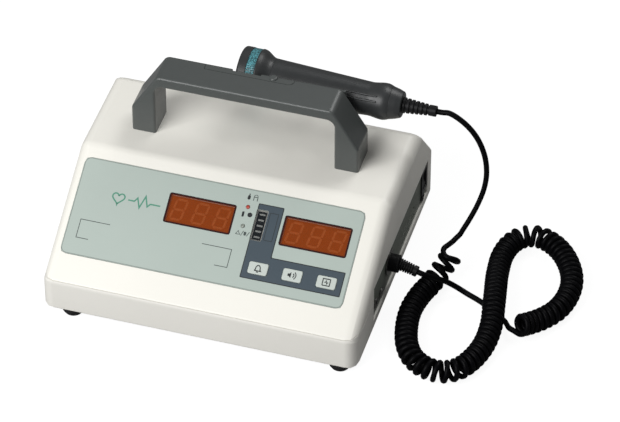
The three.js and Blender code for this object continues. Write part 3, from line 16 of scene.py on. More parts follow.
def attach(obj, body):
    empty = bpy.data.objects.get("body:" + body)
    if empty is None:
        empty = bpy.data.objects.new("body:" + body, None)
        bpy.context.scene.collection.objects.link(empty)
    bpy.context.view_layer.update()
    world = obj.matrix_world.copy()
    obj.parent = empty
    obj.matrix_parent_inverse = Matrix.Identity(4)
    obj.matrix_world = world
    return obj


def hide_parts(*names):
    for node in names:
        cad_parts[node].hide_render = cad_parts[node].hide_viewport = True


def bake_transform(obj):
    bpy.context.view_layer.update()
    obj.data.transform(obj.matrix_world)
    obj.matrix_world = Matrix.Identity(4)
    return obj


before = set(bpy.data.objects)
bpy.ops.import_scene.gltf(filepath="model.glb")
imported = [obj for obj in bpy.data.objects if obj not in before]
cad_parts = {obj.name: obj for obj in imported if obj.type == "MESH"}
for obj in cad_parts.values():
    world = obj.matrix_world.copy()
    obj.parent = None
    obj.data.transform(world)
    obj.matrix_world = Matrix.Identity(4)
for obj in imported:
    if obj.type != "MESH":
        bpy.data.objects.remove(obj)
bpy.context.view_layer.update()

bl_info = {
    "name": "Fetal Doppler Monitor",
    "version": (1, 0, 0),
    "blender": (4, 5, 0),
    "location": "3D Viewport > Sidebar > Monitor",
    "description": "Models and finishes a fetal doppler monitor around its packed solids",
    "category": "Object",
}

MM = 0.001
FULL_TURN = 2 * math.pi
# Places closer than this, in millimetres, are the same one
NEAR = 1e-3
# Faces that meet at less than this many degrees are shaded as one
COPY_SMOOTH, TURNED_SMOOTH, WIRE_SMOOTH = 35.0, 40.0, 60.0

# The camera's sensor in millimetres and far limit in metres; the lamps' place and size in metres, and power
SENSOR_WIDTH, CLIP_END = 36, 50
LAMPS = {
    "main_lamp": ((-0.7, -1.25, 1.15), 1.2, 1.0),
    "rear_lamp": ((0.45, 1.0, 1.4), 0.8, 0.28),
}
LAMP_TARGET = Vector((0.05, 0, 0.05))
# The floor: its shade for the light that it sends up, and the glow that lifts it to white for the camera
FLOOR_SIZE = 12
FLOOR_SHADE = (0.3, 0.3, 0.3)
FLOOR_GLOW, FLOOR_GLOW_SHARE = 1.1, 0.84

# Patterns: grooves round the probe's ring, cells to a metre of a board, and radians to a metre of the cone
RING_GROOVES, TRACK_CELLS, SOLDER_CELLS, CONE_WAVES = 90.0, 170.0, 230.0, 2200.0
# How clear a display's window is inside its printed edge
WINDOW_CLEARNESS = 0.62

# The sloping front's own plane: x across, u up the slope from the seam, z out of it
FRONT_Y, SEAM_Z = -109.0, 34.9
SLOPE_RISE, SLOPE_RUN = 58.33, 99.66
SLOPE_ANGLE = math.atan2(SLOPE_RISE, SLOPE_RUN)
SLOPE = Matrix.Translation((0, FRONT_Y * MM, SEAM_Z * MM)) @ Matrix.Rotation(SLOPE_ANGLE, 4, "X")

# Places on the front, in its own plane. Three numbers together are a width, a height and a corner radius
FILM_MIDDLE, FILM_EDGE, FILM_INSIDE = (-4.5, 64.25), (226.4, 79.1, 4.7), (225.4, 78.1, 4.2)
WINDOW_X = {"left": -18.0, "right": 75.2}
WINDOW_U, WINDOW_WIDTH, WINDOW_HEIGHT = 76.8, 53.6, 24.2
WINDOW_BORDER, BORDER_BLUR = 1.2, 0.25
BAR_X, BAR_WIDTH, BAR_HEIGHT = 29.8, 8.8, 24.8
BAR_STEP, BAR_STEPS, BAR_SHIFT = 4.6, 5, 0.2
BAR_FACE, BAR_SEGMENT = (6.8, 22.8, 0.5), (4.6, 1.3, 0.1)
LEVEL_MIDDLE, LEVEL_FRAME, LEVEL_INSIDE = (39.5, 77), (7, 22.8, 0.5), (6.1, 21.9, 0.3)
FIELD_LEFT, FIELD_POST, FIELD_RIGHT = 25.3, 46.0, 105.3
FIELD_LOW, FIELD_SHELF, FIELD_HIGH = 33.3, 53.4, 94.2
FIELD_EDGE = 0.75
KEY_X = {"left": 38.0, "middle": 65.3, "right": 92.6}
KEY_U, KEY_WIDTH, KEY_HEIGHT = 42.7, 15.4, 9.6
KEY_TOP, KEY_ROUND = 1.0, 0.45
HOLE_GAP = 0.6
KEY_HOLE = (KEY_WIDTH + HOLE_GAP, KEY_HEIGHT + HOLE_GAP, 1.8)
BAR_HOLE = (BAR_WIDTH + HOLE_GAP, BAR_HEIGHT + HOLE_GAP, 1.0)
LAMP_X = 17.6
LAMP_U = {"red": 89.5, "grey": 73.8}

# Digits: seven segments with pointed ends, leaning to the right
DIGIT_PITCH, DIGIT_WIDTH, DIGIT_HEIGHT = 17.3, 10.4, 18.0
DIGIT_LEAN = math.tan(math.radians(9))
SEGMENT_WIDTH, SEGMENT_GAP = 1.7, 0.25
DIGIT_FACE = (50.2, 20.8, 1.2)

# Bottom and top of what lies flat on the front, from its plane
THROUGH = (-1, 1.5)
EDGE_INK = (0.21, 0.25)
INK = (0.21, 0.26)
FIELD_INK = (0.23, 0.28)
FRAME_INK = (0.27, 0.31)
KEY_INK = (KEY_TOP - 0.02, KEY_TOP + 0.04)
DISPLAY_FACE = (-3.3, -1.6)
LEVEL_SEGMENT = (-1.6, -1.5)
DIGIT_SEGMENT = (-1.6, -1.45)

# Feet: the places of their middles
FOOT_X = {"left": -104, "right": 112}
FOOT_Y = {"front": -100, "rear": 100}

# Probe: its axis' y and z, its two curves, and the outline, the heights and the places of its finger ribs
PROBE_AXIS = (64.1, 128.58)
SHOULDER_START, SHOULDER_REACH, SHOULDER_RADII = -2.0, 11.4, (22.5, 17.1)
BULGE_START, BULGE_REACH, BULGE_RADII = 87.5, 17.0, (13.2, 14.5, 13.0)
BULGE_TOP_SHARE = 0.68
FINGER_RIB, FINGER_RIB_HEIGHTS, FINGER_RIB_ANGLES = (82, 0, 27, 1.6, 0.75), (12.6, 15.0), (34, 52)

# Handle: the case's top, its legs' ends over that, and the outlines and both ends of its shapes
HANDLE_BASE, HANDLE_FOOT = 93.23, 0.3
HANDLE_DEPTH = (15.6, 44.2)
NOTCH, NOTCH_DEPTH = (-5.8, 150.0, 23.6, 30, 1.0), (-50, -41.1)
GROOVE_WIDTH, GROOVE_HEIGHTS = 0.5, (149.8, 153)
KNOB, KNOB_HEIGHTS = (16.4, 41.2, 3.2), (149.5, 151.8)

# Sleeves and plug
PROBE_SLEEVE_START, PROBE_SLEEVE_LENGTH = 114.2, 26.9
RIB_COUNT, RIB_DEPTH, SLEEVE_END_RADIUS = 6, 1.2, 4.35
PLUG_START, PLUG_STEP = 113.9, 126.6
PLUG_RADIUS, PLUG_GRIP = 7.2, 0.5
GROOVE_COUNT, GROOVE_START, GROOVE_PITCH = 6, 127.4, 1.05

# Cord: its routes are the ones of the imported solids, but for the last two points of the curls
RELIEF_END = (141.1, 64.1, 128.58)
PLUG_END = (134.7, -13.0, 34.5)
PLUG_RELIEF_END = (149.2, -14.5, 31.5)
SWING_ROUTE = [
    (168.8, 28.4, 34.7), (167.5, 27.5, 33.1), (166.2, 26.6, 31.5), (163.7, 23.2, 30.4), (161.6, 19.4, 30),
    (161.7, 15.8, 29.5), (163.4, 12.8, 28.9), (166.1, 11.3, 28.4), (169.2, 11.6, 27.6), (171.9, 13.6, 25.4),
]
COIL_ROUTE = [
    (167, 20, 22.1), (165, 16.6, 19.1), (162.7, 12.5, 15.5), (159.9, 6.6, 11.6), (156.6, -2.5, 9.3),
    (152.8, -14, 9.3), (149.9, -34, 9.3), (152.1, -55.5, 9.3), (157.9, -73.9, 9.3), (166.8, -86.6, 9.3),
    (179.1, -93.4, 9.3), (191.6, -93.6, 9.3), (202, -87, 9.4), (210, -73, 9.8), (214.4, -54.8, 10.6),
    (214.5, -34.8, 12.7), (211.3, -15.7, 14.4), (207.2, 5.6, 13.2), (203.6, 27.2, 10.6), (202.4, 45.3, 9.6),
    (205.6, 61.4, 9.3), (212.3, 71, 9.3), (221.8, 74.9, 9.3), (233.4, 72.2, 9.3), (245.7, 63.1, 9.3),
    (256.2, 48, 9.3), (262, 31.4, 9.3), (262.4, 13.2, 9.3), (257.8, -3.2, 9.3), (250, -14.8, 9.3),
    (243.2, -23.0, 10.6), (236.2, -32.6, 14.2),
]
LEAD_ROUTE = [
    (151.4, 63.8, 129.4), (164, 62.3, 123.5), (174.6, 59.8, 113.8), (182.2, 55.8, 101), (185.6, 51, 88),
    (185.3, 46.2, 75.8), (182.2, 41, 63.4), (177.6, 35.9, 51.4), (173, 31.5, 41.5),
]
TAIL_ROUTE = [
    (221.6, -20.2, 3.2), (216.3, -15.6, 2.4), (208.8, -10.2, 2.3), (197.6, -3, 2.3), (185, 2.6, 2.6),
    (176.4, 2.7, 7.2), (169.8, -1.2, 14.2), (163.2, -7.4, 21.8),
]
# Steps: between a route's points, round a curl, along a straight length, in the swing and round the wire
ROUTE_PARTS, CURL_STEPS, STRAIGHT_STEPS, SWING_STEPS, WIRE_SIDES = 24, 32, 90, 4, 12
# The swing runs on to this point of the curls, so that it meets them along their way
MEETING_POINT = 4
LOOSE_LENGTH, LOOSE_FADE = 4.0, 28.0
BEND_REACH_SHARE = 0.75
START_ANGLE, END_ANGLE = math.radians(200), math.radians(270)
CORD_GAP = 0.3


# Properties


def linear(code):
    """A screen colour, as six hexadecimal digits, in the renderer's linear values."""
    shares = [int(code[i : i + 2], 16) / 255 for i in (0, 2, 4)]
    return tuple(c / 12.92 if c <= 0.04045 else ((c + 0.055) / 1.055) ** 2.4 for c in shares)


def colour(name, code):
    """A colour property, its default a screen colour."""
    return bpy.props.FloatVectorProperty(
        name=name, description=f"Colour of: {name.lower()}", subtype="COLOR", size=3, min=0, max=1,
        default=linear(code),
    )


def number(name, description, value, **limits):
    """A number property. Lengths are in millimetres, apart from the camera's distance."""
    return bpy.props.FloatProperty(name=name, description=description, default=value, **limits)


class StageSettings(bpy.types.PropertyGroup):
    """Camera, lamps and floor."""

    azimuth: number("Azimuth", "Camera's turn round the monitor", math.radians(16.62), subtype="ANGLE")
    elevation: number("Elevation", "Camera's angle above the table", math.radians(42.13), subtype="ANGLE")
    distance: number("Distance", "From the camera to its target", 3.05736, subtype="DISTANCE")
    target: bpy.props.FloatVectorProperty(
        name="Target", description="Point in the middle of the view", subtype="XYZ",
        default=(0.05924, -0.00437, 0.063),
    )
    lens: number("Lens", "Focal length on a 36 mm sensor", 228.68, min=1)
    main_power: number("Main lamp", "Power of the large lamp at the front left", 31.5, min=0)
    ambient: number("Room light", "Strength of the even light from all round", 0.2, min=0)
    floor: colour("Floor", "fbfbfb")


class CaseSettings(bpy.types.PropertyGroup):
    """Shells, feet and side panel."""

    upper: colour("Upper shell", "f1efe7")
    lower: colour("Lower shell", "eceae3")
    feet: colour("Feet", "1b1b1c")
    bay: colour("Side panel", "6c7269")


class FrontSettings(bpy.types.PropertyGroup):
    """Front film, displays and keys."""

    film: colour("Film", "afbbb4")
    field: colour("Field round the keys", "3c4a54")
    field_edge: colour("Outline of the field", "1d2427")
    ink: colour("Lines and small marks", "434c4a")
    key: colour("Keys", "c4ccc6")
    glass: colour("Display windows", "914115")
    glass_edge: colour("Printed edge of the windows", "35191a")
    digit_face: colour("Display behind its digits", "c05a1e")
    segment: colour("Unlit segments of the digits", "ee8a4c")
    level: colour("Segments of the level display", "eef0ea")


class HandleSettings(bpy.types.PropertyGroup):
    """Handle and probe holder."""

    plastic: colour("Handle and probe holder", "4b4f4e")
    edge: number("Edge", "Rounding of the handle's edges", 2.0, min=0)


class ProbeSettings(bpy.types.PropertyGroup):
    """Hand probe."""

    plastic: colour("Probe's shells", "2f3132")
    band: colour("Ring behind the probe's face", "4f8f98")


class CordSettings(bpy.types.PropertyGroup):
    """Curly cord, its sleeves and its plug."""

    sheath: colour("Cord", "060608")
    rubber: colour("Sleeves and plug", "131315")
    diameter: number("Cord", "Diameter of the cord", 4.4, min=0)
    coil: number("Curls", "Outer diameter of the curls", 18.4, min=0)
    close_pitch: number("Close pitch", "From one close curl to the next", 4.6, min=0)
    loose_pitch: number("Loose pitch", "The same at the loose end", 8.0, min=0)


# Outlines


def rounded(corners, steps=6, closed=True):
    """The points of an outline whose corners, each x, y and radius, are rounded by arcs."""
    points = []
    last = len(corners) - 1
    for i, (x, y, radius) in enumerate(corners):
        here = Vector((x, y))
        if radius <= 0 or (not closed and i in (0, last)):
            points.append(here)
            continue
        sides = [Vector(corners[j][:2]) - here for j in (i - 1, i + 1 if i < last else 0)]
        ways = [side.normalized() for side in sides]
        half = ways[0].angle(ways[1]) / 2
        reach = min(radius / math.tan(half), *[side.length / 2 for side in sides])
        centre = here + (ways[0] + ways[1]).normalized() * (reach / math.cos(half))
        start, end = [here + way * reach - centre for way in ways]
        sweep = math.atan2(start.x * end.y - start.y * end.x, start.dot(end))
        points += [centre + Matrix.Rotation(sweep * step / steps, 2) @ start for step in range(steps + 1)]
    return points


def rectangle(x, y, width, height, radius):
    """A rectangle's outline by its middle and its sides, with rounded corners."""
    corners = ((-1, -1), (1, -1), (1, 1), (-1, 1))
    return rounded([(x + i * width / 2, y + j * height / 2, radius) for i, j in corners], 5)


def disc(x, y, radius):
    """A circle's outline."""
    return [Vector(point) for point in arc(x, y, radius, 0, 345, 23)]


def stroke(path, width):
    """The outline of a line of one width along an open path, mitred at its corners."""
    path = [Vector(point) for point in path]
    left, right = [], []
    for i, here in enumerate(path):
        before = (here - path[i - 1] if i else path[1] - here).normalized()
        after = (path[i + 1] - here).normalized() if i + 1 < len(path) else before
        normal = Vector((-before.y - after.y, before.x + after.x)).normalized()
        out = normal * (width / 2 / max(normal.dot(Vector((-before.y, before.x))), 0.3))
        left.append(here + out)
        right.append(here - out)
    return left + right[::-1]


def arc(x, y, radius, start, end, steps=10):
    """Points along an arc, its angles in degrees."""
    angles = [math.radians(start + (end - start) * i / steps) for i in range(steps + 1)]
    return [(x + radius * math.cos(a), y + radius * math.sin(a)) for a in angles]


# Modelling


def take(piece):
    """Makes a piece the only one selected, and the active one."""
    bpy.ops.object.select_all(action="DESELECT")
    piece.select_set(True)
    bpy.context.view_layer.objects.active = piece


def edit(piece, *steps):
    """Runs steps in edit mode on all of a piece."""
    take(piece)
    bpy.ops.object.mode_set(mode="EDIT")
    select_all()
    for step in steps:
        step()
    bpy.ops.object.mode_set(mode="OBJECT")
    return piece


def select_all():
    bpy.ops.mesh.select_all(action="SELECT")


def loop(name, points, fill):
    """A ring of points, started as a circle, with the points then put in place."""
    bpy.ops.object.select_all(action="DESELECT")
    bpy.ops.mesh.primitive_circle_add(vertices=len(points), radius=MM, fill_type=fill)
    piece = bpy.context.object
    piece.name = name
    for vertex, point in zip(piece.data.vertices, points):
        vertex.co = [value * MM for value in point]
    return piece


def outward():
    """Merges doubles and turns every face outwards."""
    bpy.ops.mesh.remove_doubles(threshold=NEAR * MM)
    bpy.ops.mesh.normals_make_consistent(inside=False)


def round_edges(piece, chosen, width, segments=3):
    """Rounds the edges whose two ends, in millimetres, a function chooses."""

    def choose():
        bpy.ops.mesh.select_mode(type="EDGE")
        mesh = bmesh.from_edit_mesh(piece.data)
        for edge in mesh.edges:
            edge.select_set(chosen(*[vertex.co / MM for vertex in edge.verts]))
        bmesh.update_edit_mesh(piece.data)

    edit(
        piece,
        lambda: bpy.ops.mesh.select_all(action="DESELECT"),
        choose,
        lambda: bpy.ops.mesh.bevel(
            offset=width * MM, offset_type="OFFSET", segments=segments, affect="EDGES", clamp_overlap=True
        ),
        lambda: bpy.ops.mesh.select_mode(type="VERT"),
    )


def round_top(piece, height, width):
    """Rounds the rim of a piece's flat top."""
    round_edges(piece, lambda a, b: abs(a.z - height) < NEAR and abs(b.z - height) < NEAR, width)


def slab(name, points, low, high, edge=0.0):
    """An outline given thickness along z, with its top rim rounded if asked."""
    piece = loop(name, [(x, y, low) for x, y in points], "NGON")
    rise = {"value": (0, 0, (high - low) * MM)}
    edit(piece, lambda: bpy.ops.mesh.extrude_region_move(TRANSFORM_OT_translate=rise), select_all, outward)
    if edge:
        round_top(piece, high, edge)
    return piece


def turned(name, profile, axis, sides):
    """A profile of radius and place along an axis, spun round it."""
    along_x = axis == "X"
    points = [(along, 0, radius) if along_x else (radius, 0, along) for radius, along in profile]
    way = (1, 0, 0) if along_x else (0, 0, 1)
    return edit(
        loop(name, points, "NOTHING"),
        lambda: bpy.ops.mesh.spin(steps=sides, angle=FULL_TURN, center=(0, 0, 0), axis=way),
        select_all,
        outward,
        bpy.ops.mesh.delete_loose,
    )


def shift(x=0.0, y=0.0, z=0.0):
    """A move by millimetres."""
    return Matrix.Translation((x * MM, y * MM, z * MM))


def lathe(name, corners, axis, sides, at, steps=3, closed=False):
    """A profile with rounded corners, spun, taken to its place and made smooth."""
    piece = turned(name, rounded(corners, steps, closed), axis, sides)
    piece.data.transform(at)
    return smooth(piece, TURNED_SMOOTH)


def on_slope(piece):
    """Takes a piece from the front's own plane to its place."""
    piece.data.transform(SLOPE)
    return piece


def apply(piece, kind, **settings):
    """Adds a modifier to a piece and applies it."""
    modifier = piece.modifiers.new(kind.lower(), kind)
    for name, value in settings.items():
        setattr(modifier, name, value)
    take(piece)
    bpy.ops.object.modifier_apply(modifier=modifier.name)
    return piece


def cut(piece, *cutters):
    """Cuts other pieces out of one, and deletes them."""
    for cutter in cutters:
        apply(piece, "BOOLEAN", operation="DIFFERENCE", solver="EXACT", object=cutter)
        bpy.data.objects.remove(cutter)
    return piece


def join(pieces, name):
    """Makes pieces into one object with a name."""
    take(pieces[0])
    for piece in pieces[1:]:
        piece.select_set(True)
    if len(pieces) > 1:
        bpy.ops.object.join()
    bpy.context.object.name = name
    return bpy.context.object


def flat(name, outlines, heights, holes=()):
    """Flat shapes in one piece on the sloping front, with holes cut through them."""
    piece = join([slab(f"{name}_{i}", outline, *heights) for i, outline in enumerate(outlines)], name)
    for i, hole in enumerate(holes):
        cut(piece, slab(f"{name}_hole_{i}", hole, *THROUGH))
    return on_slope(piece)


def smooth(piece, degrees=COPY_SMOOTH):
    """Smooth shading that keeps edges sharper than an angle, and keeps flat faces flat."""
    take(piece)
    bpy.ops.object.shade_smooth_by_angle(angle=math.radians(degrees))
    return apply(piece, "WEIGHTED_NORMAL", keep_sharp=True)


def copy_of(node, edge=0.0):
    """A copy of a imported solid, its triangles merged into whole faces, and its edges rounded if asked."""
    piece = bpy.data.objects.new(node + "_skin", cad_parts[node].data.copy())
    bpy.context.scene.collection.objects.link(piece)
    take(piece)
    bpy.ops.mesh.customdata_custom_splitnormals_clear()
    edit(
        piece,
        lambda: bpy.ops.mesh.remove_doubles(threshold=NEAR * MM),
        lambda: bpy.ops.mesh.dissolve_limited(angle_limit=math.radians(0.5)),
    )
    if edge:
        apply(
            piece, "BEVEL", width=edge * MM, segments=2, limit_method="ANGLE",
            angle_limit=math.radians(40), use_clamp_overlap=True,
        )
    return smooth(piece)


def place(piece, body, look, *nodes, slot=None):
    """Gives a finished piece its material and its body, and hides the solids that it stands for. The slot is
    not used.
    """
    wear(piece, look)
    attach(piece, body)
    if nodes:
        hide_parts(*nodes)
    return piece


def wear(piece, look):
    """Gives a piece one material."""
    piece.data.materials.clear()
    piece.data.materials.append(look)


def skin(node, look, slot, edge=0.0, body="case"):
    """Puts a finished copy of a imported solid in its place."""
    return place(copy_of(node, edge), body, look, node, slot=slot)


def dress(look, *nodes):
    """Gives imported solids, which stay as they are, a material."""
    for node in nodes:
        wear(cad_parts[node], look)


# Materials


class Signal:
    """A value that varies over a surface: a node's socket that takes part in arithmetic."""

    def __init__(self, tree, socket):
        self.tree = tree
        self.socket = socket

    def __add__(self, other):
        return self.tree.maths("ADD", self, other)

    def __sub__(self, other):
        return self.tree.maths("SUBTRACT", self, other)

    def __rsub__(self, other):
        return self.tree.maths("SUBTRACT", other, self)

    def __mul__(self, other):
        return self.tree.maths("MULTIPLY", self, other)

    def __abs__(self):
        return self.tree.maths("ABSOLUTE", self)


class Tree:
    """The nodes of a material or of the world."""

    def __init__(self, owner):
        owner.use_nodes = True
        self.nodes, self.links = owner.node_tree.nodes, owner.node_tree.links

    def put(self, socket, value):
        """Links a signal to a socket, or sets the socket to a constant."""
        if isinstance(value, Signal):
            self.links.new(value.socket, socket)
        elif socket.type == "RGBA":
            socket.default_value = (*value, 1)
        else:
            socket.default_value = value

    def node(self, kind, inputs, output=0, **settings):
        """Any node: its settings first, then the values of its sockets."""
        made = self.nodes.new(kind)
        for name, value in settings.items():
            setattr(made, name, value)
        for name, value in inputs.items():
            self.put(made.inputs[name], value)
        return Signal(self, made.outputs[output])

    def maths(self, operation, *values):
        """A Math node."""
        return self.node("ShaderNodeMath", dict(enumerate(values)), operation=operation)

    def seen(self):
        """One for rays that see the background itself, and zero for those that light the monitor."""
        path = self.nodes.new("ShaderNodeLightPath")
        rays = [Signal(self, path.outputs[f"Is {kind} Ray"]) for kind in ("Camera", "Transmission")]
        return self.maths("MAXIMUM", *rays)


class Look(Tree):
    """A material built from nodes, with one glossy plastic-like shader at its end."""

    def __init__(self, name):
        self.material = bpy.data.materials.new(name)
        super().__init__(self.material)
        self.nodes.clear()
        self.shader = self.nodes.new("ShaderNodeBsdfPrincipled")
        self.surface = self.nodes.new("ShaderNodeOutputMaterial").inputs["Surface"]
        self.links.new(self.shader.outputs[0], self.surface)

    def ramp(self, value, low, high):
        """Zero below one value and one above another, smooth in between."""
        ends = {"Value": value, "From Min": low, "From Max": high}
        return self.node("ShaderNodeMapRange", ends, interpolation_type="SMOOTHSTEP")

    def mix(self, a, b, share):
        """From one colour to another by a share; the sockets 6, 7 and 2 are the node's colours."""
        return self.node("ShaderNodeMix", {0: share, 6: a, 7: b}, 2, data_type="RGBA")

    def tone(self, shade, low, high, share):
        """A colour that goes from a darker share of itself to a lighter one."""
        return self.mix(scaled(shade, low), scaled(shade, high), share)

    def rough(self, share, spread, least):
        """A roughness that goes up from its least value."""
        return self.maths("MULTIPLY_ADD", share, spread, least)

    def wave(self, value):
        """Even waves from 0 to 1."""
        return self.maths("MULTIPLY_ADD", self.maths("SINE", value), 0.5, 0.5)

    def coordinates(self):
        """Object coordinates, which are the frame's own."""
        return self.node("ShaderNodeTexCoord", {}, 3)

    def axes(self, vector):
        """The three parts of a vector."""
        made = self.nodes.new("ShaderNodeSeparateXYZ")
        self.put(made.inputs[0], vector)
        return [Signal(self, socket) for socket in made.outputs]

    def slope_axes(self):
        """Coordinates in the front's own plane, in metres."""
        inverse = SLOPE.inverted()
        moves = {"Location": inverse.to_translation(), "Rotation": inverse.to_euler()}
        return self.axes(self.node("ShaderNodeMapping", {"Vector": self.coordinates(), **moves}))

    def noise(self, size, detail=2.0, roughness=0.5):
        """Even noise from 0 to 1, whose grains are a size in millimetres."""
        grain = {"Scale": 1 / (size * MM), "Detail": detail, "Roughness": roughness}
        return self.node("ShaderNodeTexNoise", {"Vector": self.coordinates(), **grain})

    def bump(self, height, depth):
        """A normal from a height of 0 to 1 that stands for a depth in millimetres."""
        return self.node("ShaderNodeBump", {"Height": height, "Distance": depth * MM, "Strength": 1.0})

    def finish(self, **inputs):
        """Sets the shader's sockets, named with underscores for spaces, and returns the material."""
        for name, value in inputs.items():
            self.put(self.shader.inputs[name.replace("_", " ").title().replace("Ior", "IOR")], value)
        return self.material


def scaled(shade, factor):
    """A colour made lighter or darker."""
    return tuple(min(value * factor, 1.0) for value in shade)


def even(name, shade, spread, patch, rough, relief=None, **sockets):
    """A surface that varies evenly. A noise is a size, and then a detail and a roughness if they matter.

    spread: the darkest and the lightest share of its colour, and patch: the noise between them
    rough: one roughness, or how much it varies, its least value and its noise
    relief: a depth and its noise
    """
    look = Look(name)
    if not isinstance(rough, float):
        rough = look.rough(look.noise(*rough[2:]), *rough[:2])
    if relief:
        sockets["normal"] = look.bump(look.noise(*relief[1:]), relief[0])
    tone = look.tone(shade, *spread, look.noise(*patch))
    return look.finish(base_color=tone, roughness=rough, **sockets)


def moulded(name, shade, roughness, grain=0.5, depth=0.012, patch=0.05, patch_size=60.0, coat=0.0):
    """Moulded plastic: a fine grain, a slightly uneven shine and faint large patches."""
    return even(
        name, shade, (1 - patch, 1 + patch), (patch_size, 3.0), (0.16, roughness - 0.08, grain * 12),
        (depth, grain, 2.0, 0.6), coat_weight=coat, coat_roughness=0.2,
    )


def rubber(name, shade, roughness=0.56, dust=(3.0, 4.0, 0.65), lighter=0.012, rougher=0.12, grain=0.35,
           specular=0.2):
    """Rubber: dull, with a fine grain and dust, which is a little lighter and rougher."""
    look = Look(name)
    dusty = look.ramp(look.noise(*dust), 0.5, 0.8)
    return look.finish(
        base_color=look.mix(shade, [value + lighter for value in shade], dusty),
        roughness=look.rough(dusty, rougher, roughness), normal=look.bump(look.noise(grain), 0.02),
        specular_ior_level=specular,
    )


def metal(name, shade, roughness):
    """Plated metal with faint turning marks."""
    return even(
        name, shade, (0.9, 1.0), (4.0,), (0.14, roughness - 0.07, 0.25, 3.0), (0.004, 0.25, 3.0), metallic=1.0
    )


def ink(name, shade, roughness=0.35):
    """Printing ink, a little uneven at its own fine scale."""
    return even(name, shade, (0.9, 1.08), (1.2, 3.0), (0.1, roughness, 3.0), (0.004, 0.5))


def display_face(name, shade):
    """The face of a display module behind its segments: dark, with a slight orange peel."""
    return even(name, shade, (0.85, 1.1), (14.0,), 0.4, (0.02, 1.5), specular_ior_level=0.2)


def window_glass(name, x, settings):
    """A tinted window: clear in the middle and printed dark along its edge."""
    look = Look(name)
    across, along, _ = look.slope_axes()
    from_sides = WINDOW_WIDTH / 2 * MM - abs(across - x * MM)
    from_ends = WINDOW_HEIGHT / 2 * MM - abs(along - WINDOW_U * MM)
    border = look.maths("MINIMUM", from_sides, from_ends)
    inside = look.ramp(border, (WINDOW_BORDER - BORDER_BLUR) * MM, (WINDOW_BORDER + BORDER_BLUR) * MM)
    return look.finish(
        base_color=look.mix(settings.glass_edge, settings.glass, inside), alpha=1 - inside * WINDOW_CLEARNESS,
        roughness=look.rough(look.noise(9.0, 4.0), 0.08, 0.16), normal=look.bump(look.noise(30.0), 0.02),
        specular_ior_level=0.2,
    )


def clear_window():
    """A smoked clear window."""
    look = Look("level_window_clear")
    tone = look.mix((0.02, 0.025, 0.03), (0.03, 0.035, 0.04), look.noise(9.0))
    return look.finish(base_color=tone, alpha=0.3, roughness=0.12, specular_ior_level=0.2)


def ringed(name, shade):
    """The probe's ring: plastic with fine grooves across it, painted highlights as light flecks on the groove
    crests, and painted shade in their hollows.
    """
    look = Look(name)
    _, across, up = look.axes(look.coordinates())
    probe_y, probe_z = PROBE_AXIS
    angle = look.maths("ARCTAN2", up - probe_z * MM, across - probe_y * MM)
    grooves = look.wave(angle * RING_GROOVES)
    painted_glints = look.ramp(look.noise(1.1, 3.0), 0.42, 0.62)
    # Painted light: the light flecks are painted highlights, brightest on the groove crests and held dark in
    # the hollows as painted shade.
    tone = look.tone(shade, 0.3, 1.6, look.maths("MINIMUM", painted_glints, grooves + 0.3))
    return look.finish(base_color=tone, roughness=0.35, normal=look.bump(grooves, 0.12))


def circuit_board(name, shade):
    """A lacquered board with copper tracks under the lacquer and bare solder spots."""
    look = Look(name)
    at = look.coordinates()
    cells = look.node(
        "ShaderNodeTexVoronoi", {"Vector": at, "Scale": TRACK_CELLS}, distance="CHEBYCHEV",
        feature="DISTANCE_TO_EDGE",
    )
    tracks = 1 - look.ramp(cells, 0.03, 0.09)
    spots = look.node("ShaderNodeTexVoronoi", {"Vector": at, "Scale": SOLDER_CELLS})
    solder = 1 - look.ramp(spots, 0.1, 0.16)
    tone = look.mix(look.tone(shade, 1.0, 1.7, tracks), (0.55, 0.55, 0.52), solder)
    return look.finish(
        base_color=tone, metallic=solder * 0.8, roughness=look.rough(tracks, 0.1, 0.3),
        normal=look.bump(look.maths("MAXIMUM", tracks, solder), 0.05),
    )


def paper_cone(name, shade, centre):
    """A loudspeaker: rings pressed into its cone."""
    look = Look(name)
    across, along, _ = look.axes(look.coordinates())
    x, y = across - centre[0] * MM, along - centre[1] * MM
    rings = look.wave(look.maths("SQRT", x * x + y * y) * CONE_WAVES)
    tone = look.tone(shade, 0.8, 1.3, look.noise(1.0, 4.0))
    return look.finish(base_color=tone, roughness=0.7, normal=look.bump(rings, 0.2))


# Cord


class Route:
    """A smooth curve through points, its speed eased by their spacing."""

    def __init__(self, points):
        self.points = [Vector(point) for point in points]
        count = (len(points) - 1) * ROUTE_PARTS
        self.shares = [i / count for i in range(count + 1)]
        places = [self.at(share) for share in self.shares]
        self.walked = [0.0]
        for last, here in zip(places, places[1:]):
            self.walked.append(self.walked[-1] + (here - last).length)
        self.length = self.walked[-1]

    def at(self, share):
        """The point at a share of the curve's parameter."""
        points = self.points
        last = len(points) - 1
        along = share * last
        i = min(int(along), last - 1)
        t = along - i
        b, c = points[i], points[i + 1]
        a = points[i - 1] if i > 0 else b + b - c
        d = points[i + 2] if i + 2 <= last else c + c - b
        before, here, after = ((q - p).length ** 0.5 for p, q in ((a, b), (b, c), (c, d)))
        leave = ((b - a) / before - (c - a) / (before + here) + (c - b) / here) * here
        arrive = ((c - b) / here - (d - b) / (here + after) + (d - c) / after) * here
        squared = -3 * b + 3 * c - 2 * leave - arrive
        cubed = 2 * b - 2 * c + leave + arrive
        return b + leave * t + squared * t**2 + cubed * t**3

    def share_at(self, distance):
        """The parameter's share at a distance along the curve."""
        high = min(max(bisect(self.walked, distance), 1), len(self.walked) - 1)
        start, end = self.walked[high - 1], self.walked[high]
        part = min(max((distance - start) / (end - start), 0.0), 1.0)
        return self.shares[high - 1] + (self.shares[high] - self.shares[high - 1]) * part

    def point(self, distance):
        """The point at a distance along the curve."""
        return self.at(self.share_at(distance))

    def way(self, distance):
        """The direction at a distance along the curve."""
        share = self.share_at(distance)
        small = 1e-4
        return (self.at(min(share + small, 1)) - self.at(max(share - small, 0))).normalized()


